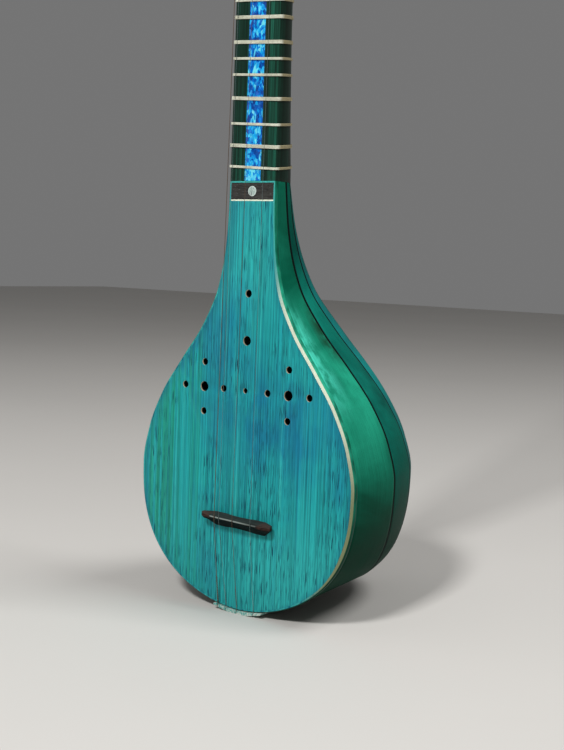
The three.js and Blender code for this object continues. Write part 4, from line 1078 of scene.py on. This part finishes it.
class SETAR_OT_frets(bpy.types.Operator):
    """Tied frets: gut wound round the neck, with its knot behind the left edge"""

    bl_idname = "setar.frets"
    bl_label = "Frets"

    def execute(self, context):
        colours, sizes = context.scene.setar_colours, context.scene.setar_sizes
        gut = gut_finish(colours)
        dice = random.Random(7)
        for number, (cents, turns) in enumerate(FRETS, 1):
            z = CREST + STRING_LENGTH * 2 ** (-cents / 1200)
            name = f"fret_{number:02d}"
            band = self.band(z, turns, sizes, dice)
            dress(band, f"gut_{name}", gut, "gut", name, body=name, smooth=60)
        return {"FINISHED"}

    def band(self, z, turns, sizes, dice):
        """One length of gut in close turns, and a knot over its ends."""
        spread = max(low - here for low, here in zip(neck_size(z - FRET_TRAVEL), neck_size(z)))
        lift = min(sizes.gut_lift + spread, GUT_LIFT_LIMIT) + sizes.gut / 2
        loop = self.rounded(slanted_section(z, lift))
        start = min(range(len(loop)), key=lambda n: abs(loop[n].y - KNOT_DEPTH) + (0 if loop[n].x < 0 else 1))
        loop = loop[start:] + loop[:start]  # so that the knot sits behind the left edge
        count = len(loop)
        route = []
        for step in range(turns * count + 1):
            share = step / count
            point = loop[step % count].copy()
            point.z += (share - turns / 2) * sizes.gut * 1.02 * (turns - 0.999) / turns
            route.append(point)
        return join_pieces(wire(route, sizes.gut, sides=2), self.knot(loop[0], turns, sizes, dice))

    def rounded(self, loop):
        """Loop with points added near its corners, so the gut bends round them."""
        out = []
        count = len(loop)
        for n, point in enumerate(loop):
            before, after = loop[n - 1], loop[(n + 1) % count]
            if (point - before).angle(after - point) > 0.25:
                near = min((point - before).length, (after - point).length) * 0.35
                first = point + (before - point).normalized() * near
                last = point + (after - point).normalized() * near
                out += [first, first.lerp(last, 0.5).lerp(point, 0.45), last]
            else:
                out.append(point)
        return out

    def knot(self, at, turns, sizes, dice):
        """Short strand across the turns that ends in a small overhand knot."""
        out = Vector((-1, 0.25, 0)).normalized()
        back = Vector((0.25, 1, 0)).normalized()
        reach = sizes.gut * turns / 2
        lift = out * sizes.gut * 0.55
        points = []
        for n in range(25):
            angle = 2 * math.pi * 1.5 * n / 24
            swing = Vector((0, 0, math.cos(angle) * reach * 0.9)) + back * math.sin(angle) * sizes.gut * 0.9
            points.append(at + lift * (1 + 0.35 * math.sin(angle * 2 + dice.random())) + swing)
        return wire(points, sizes.gut * 0.9, sides=2)


class SETAR_OT_bridge(bpy.types.Operator):
    """Low loose bridge with its string slots"""

    bl_idname = "setar.bridge"
    bl_label = "Bridge"

    def execute(self, context):
        colours = context.scene.setar_colours
        bridge = copy_of_node("bridge")
        for vertex in bridge.data.vertices:
            behind = CREST - vertex.co.x * math.tan(BRIDGE_SKEW) - vertex.co.z
            if abs(vertex.co.x) > 24 * MM and behind > 1 * MM:
                vertex.co.z += 0.55 * behind
            vertex.co.z += CREST_LEAN * min(-vertex.co.y / BRIDGE_HEIGHT, 1)
        bevel(bridge, 0.12 * MM, 25)
        dress(bridge, "bridge_bar", bridge_finish(colours), "bridge_wood", "bridge", body="bridge")
        return {"FINISHED"}


class SETAR_OT_tail(bpy.types.Operator):
    """Worn strip under the lower edge that holds the strings, and the block inside"""

    bl_idname = "setar.tail"
    bl_label = "Tailpiece"

    def execute(self, context):
        colours = context.scene.setar_colours
        strip = copy_of_node("tailpiece")
        bevel(strip, 0.12 * MM, 40)
        dress(strip, "tail_strip", tail_finish(colours), "tail_pale", "tailpiece")
        stops = [(0.3, colours.bare_dark), (0.7, colours.bare_light)]
        bare = plain_finish("bare_wood", (700, 700, 40), stops, 0.75, bump=(0.0001, 0.4))
        paint(frame["nodes"]["tail_block"], bare)
        return {"FINISHED"}


class SETAR_OT_strings(bpy.types.Operator):
    """Four wires, each with a twisted loop at the tail and turns round its peg"""

    bl_idname = "setar.strings"
    bl_label = "Strings"

    def execute(self, context):
        colours, sizes = context.scene.setar_colours, context.scene.setar_sizes
        bronze = metal_finish("string_bronze", colours.bronze)
        steel = metal_finish("string_steel", colours.steel)
        for name, (diameter, tail, bridge, nut) in STRINGS.items():
            metal, slot = (bronze, "string_bronze") if name in ("bass", "middle") else (steel, "string_steel")
            route = self.route(name, diameter, tail, bridge, nut, sizes)
            reach = 17 * MM if name == "bass" else 13 * MM
            twist = self.twist(route[1], route[2], diameter, reach)
            piece = join_pieces(wire(route, diameter, sides=3), wire(twist, diameter, sides=2))
            dress(piece, f"wire_{name}", metal, slot, f"string_{name}", smooth=60)
        return {"FINISHED"}

    def route(self, name, diameter, tail, bridge, nut, sizes):
        """Places along a string, from the tail strip to the last turn on its peg."""
        edge = face_edge_height(tail)
        skew = bridge * math.tan(BRIDGE_SKEW)
        points = [
            Vector((tail, -STRING_OUT, 0.6 * MM + edge - BODY_BOTTOM)),
            Vector((tail, -STRING_OUT, max(edge, 4 * MM))),
            Vector((bridge, -(BRIDGE_HEIGHT + diameter / 2), CREST - skew)),
            Vector((nut, -(NUT_HEIGHT + diameter / 2), NUT + 1.2 * MM)),
        ]
        if name not in FRONT_PEGS:
            z = NUT + SIDE_TURN_LIFTS[name]
            points.append(Vector((-neck_size(z)[0] - STRING_OUT, -STRING_OUT, z)))
        return points + self.coil(name, diameter, sizes.turn_points)

    def coil(self, name, diameter, steps):
        """Three turns round the neck of a peg, each a millimetre farther out."""
        z = PEG_HEIGHTS[name]
        radius = PEG_RADIUS + PEG_LIFT + diameter / 2
        face = 0 if name in FRONT_PEGS else neck_size(z)[0]
        turn = {"middle": -1, "treble": 1}.get(name, 0)
        points = []
        for step in range(3 * steps + 1):
            angle = 2 * math.pi * step / steps
            out = 3.2 * MM + MM * step / steps
            height = z + radius * math.sin(angle)
            if name in FRONT_PEGS:
                points.append(Vector((turn * radius * math.cos(angle), -out, height)))
            else:
                points.append(Vector((-face - out, SIDE_PEG_DEPTH - radius * math.cos(angle), height)))
        return points

    def twist(self, start, toward, diameter, length):
        """Second strand of the tail loop, wound round the first."""
        turns, steps = 11, 11 * 10
        way = (toward - start).normalized()
        side = Vector((1, 0, 0))
        up = way.cross(side).normalized()
        points = []
        for n in range(steps + 1):
            share = n / steps
            angle = 2 * math.pi * turns * share
            around = (side * math.cos(angle) + up * math.sin(angle)) * (1.05 * diameter)
            points.append(start + way * length * share + around)
        return points


def face_edge_height(x):
    """Height of the face's lower edge under a place across it."""
    low, high = BODY_BOTTOM, WIDEST
    for _ in range(40):
        middle = (low + high) / 2
        if face_half_width(middle) < abs(x):
            low = middle
        else:
            high = middle
    return high


class SETAR_OT_pegs(bpy.types.Operator):
    """Friction pegs: a tapered shaft, a collar and a turned cross-bar"""

    bl_idname = "setar.pegs"
    bl_label = "Pegs"

    def execute(self, context):
        colours = context.scene.setar_colours
        wood = neck_finish(colours, "peg_wood")
        handle = self.handle()
        for name, z in PEG_HEIGHTS.items():
            front = name in FRONT_PEGS
            through = neck_size(z)[1] if front else 2 * neck_size(z)[0]
            peg = self.shaft(PEG_NECK + through + 1.5 * MM)
            select_only(handle)
            bpy.ops.object.duplicate()
            boolean(peg, bpy.context.object, "UNION")
            if front:
                placing = Matrix.Translation((0, -PEG_NECK, z))
            else:
                placing = Matrix.Translation((-neck_size(z)[0] - PEG_NECK, SIDE_PEG_DEPTH, z))
                placing = placing @ Matrix.Rotation(-math.pi / 2, 4, "Z")
            peg.data.transform(placing)
            dress(peg, f"tuning_peg_{name}", wood, "peg_wood", f"peg_{name}", body=f"peg_{name}", smooth=30)
        bpy.data.objects.remove(handle)
        return {"FINISHED"}

    def radius_at(self, along):
        """Radius of the tapered shaft at a distance from its handle."""
        return mix(PEG_RADIUS, PEG_TIP_RADIUS, along / PEG_TAPER)

    def shaft(self, length):
        """Tapered shaft with its collar, along +Y from the handle at y = 0 to its tip."""
        profile = [(-1.5 * MM, 3.6 * MM), (0, 5.0 * MM), (0.8 * MM, 5.2 * MM), (1.6 * MM, 4.9 * MM),
                   (2.2 * MM, 4.3 * MM), (2.6 * MM, 4.6 * MM), (3.0 * MM, 4.45 * MM)]
        profile += [(y, self.radius_at(y)) for y in (3.3 * MM, 6 * MM, 12 * MM, 20 * MM, length - 1.2 * MM)]
        tip = self.radius_at(length)
        return self.turned(profile + [(length - 0.5 * MM, tip - 0.25 * MM), (length, tip - 0.9 * MM)])

    def handle(self):
        """Turned cross-bar with a waist and two swellings."""
        half, thick = 16 * MM, 4.6 * MM
        shares = [(0, 1), (0.12, 0.985), (0.3, 0.9), (0.42, 0.83), (0.5, 0.82), (0.6, 0.88), (0.72, 1), (0.8, 0.97),
                  (0.9, 0.86), (0.96, 0.66), (1, 0.4)]
        right = [(at * half, wide * thick) for at, wide in shares]
        bar = self.turned([(-y, r) for y, r in reversed(right[1:])] + right)
        bar.data.transform(Matrix.Translation((0, -2.3 * MM, 0)) @ Matrix.Rotation(math.pi / 2, 4, "Z"))
        return bar

    def turned(self, profile):
        """Turned piece about +Y from a profile of (along, radius)."""
        rows = len(profile) - 1

        def place(u, v):
            along, radius = profile[round(v * rows)]
            angle = 2 * math.pi * u
            return Vector((radius * math.cos(angle), along, radius * math.sin(angle)))

        return grid_tube(40, rows, place)


class SETAR_OT_stage(bpy.types.Operator):
    """Pale floor, soft lights and the camera"""

    bl_idname = "setar.stage"
    bl_label = "Stage"

    def execute(self, context):
        stage = context.scene.setar_stage
        self.floor(stage)
        self.surroundings(stage)
        self.light("key_light", (0.24, -1.48, 1.54), (0, 0, 0.2), stage.key, 0.3)
        self.light("fill_light", (-1.6, -0.6, 0.5), (0, 0.02, 0.2), stage.fill, 1.0)
        self.light("side_light", (1.1, 0.35, 1.9), (0, 0.04, 0.15), stage.side, 0.8)
        self.camera(stage)
        return {"FINISHED"}

    def floor(self, stage):
        bpy.ops.mesh.primitive_plane_add(size=9, location=(0, 0, -0.02 * MM))
        floor = bpy.context.object
        floor.name = "floor"
        stops = [(0.3, stage.floor), (0.7, [c * 0.97 for c in stage.floor])]
        paint(floor, plain_finish("floor_paint", (2.5, 2.5, 1), stops, 0.75))

    def surroundings(self, stage):
        world = bpy.data.worlds.new("surroundings")
        bpy.context.scene.world = world
        world.use_nodes = True
        background = world.node_tree.nodes["Background"]
        background.inputs["Color"].default_value = (0.80, 0.80, 0.80, 1)
        background.inputs["Strength"].default_value = stage.surround

    def light(self, name, place, target, power, size):
        """Square soft light that looks at a place."""
        bpy.ops.object.light_add(type="AREA", location=place)
        lamp = bpy.context.object
        lamp.name = name
        lamp.data.energy = power
        lamp.data.size = size
        way = Vector(target) - Vector(place)
        lamp.rotation_euler = way.to_track_quat("-Z", "Y").to_euler()

    def camera(self, stage):
        """The photo's view, from turns fitted to it."""
        cp, sp = math.cos(stage.pitch), math.sin(stage.pitch)
        forward = Vector((-math.sin(stage.yaw) * cp, math.cos(stage.yaw) * cp, -sp))
        level = Vector((math.cos(stage.yaw), math.sin(stage.yaw), 0))
        down = forward.cross(level)
        right = level * math.cos(stage.roll) + down * math.sin(stage.roll)
        below = down * math.cos(stage.roll) - level * math.sin(stage.roll)
        bpy.ops.object.camera_add()
        camera = bpy.context.object
        camera.name = "camera"
        turned = Matrix((right, -below, -forward)).transposed().to_4x4()
        camera.matrix_world = Matrix.Translation(CAMERA_AT) @ turned
        camera.data.lens = stage.lens
        camera.data.sensor_width = 36
        bpy.context.scene.camera = camera
        bpy.context.scene.view_settings.view_transform = "Standard"


class SETAR_PT_panel(bpy.types.Panel):
    """Lists the operators and the settings"""

    bl_label = "Setar"
    bl_idname = "SETAR_PT_panel"
    bl_space_type = "VIEW_3D"
    bl_region_type = "UI"
    bl_category = "Setar"

    def draw(self, context):
        layout = self.layout
        for operator in OPERATORS:
            layout.operator(operator.bl_idname)
        for settings in (getattr(context.scene, name) for name in SETTINGS):
            box = layout.box()
            for key in settings.__annotations__:
                box.prop(settings, key, text=key.replace("_", " ").capitalize())


OPERATORS = (SETAR_OT_face, SETAR_OT_bowl, SETAR_OT_neck, SETAR_OT_frets, SETAR_OT_bridge, SETAR_OT_tail,
             SETAR_OT_strings, SETAR_OT_pegs, SETAR_OT_stage)
SETTINGS = {"setar_colours": SetarColours, "setar_sizes": SetarSizes, "setar_stage": SetarStage}
CLASSES = (*SETTINGS.values(), *OPERATORS, SETAR_PT_panel)


def register():
    for kind in CLASSES:
        bpy.utils.register_class(kind)
    for name, kind in SETTINGS.items():
        setattr(bpy.types.Scene, name, PointerProperty(type=kind))


def unregister():
    for name in SETTINGS:
        delattr(bpy.types.Scene, name)
    for kind in reversed(CLASSES):
        bpy.utils.unregister_class(kind)


def main():
    register()
    bpy.ops.setar.face()
    bpy.ops.setar.bowl()
    bpy.ops.setar.neck()
    bpy.ops.setar.frets()
    bpy.ops.setar.bridge()
    bpy.ops.setar.tail()
    bpy.ops.setar.strings()
    bpy.ops.setar.pegs()
    bpy.ops.setar.stage()


if __name__ == "__main__":
    main()
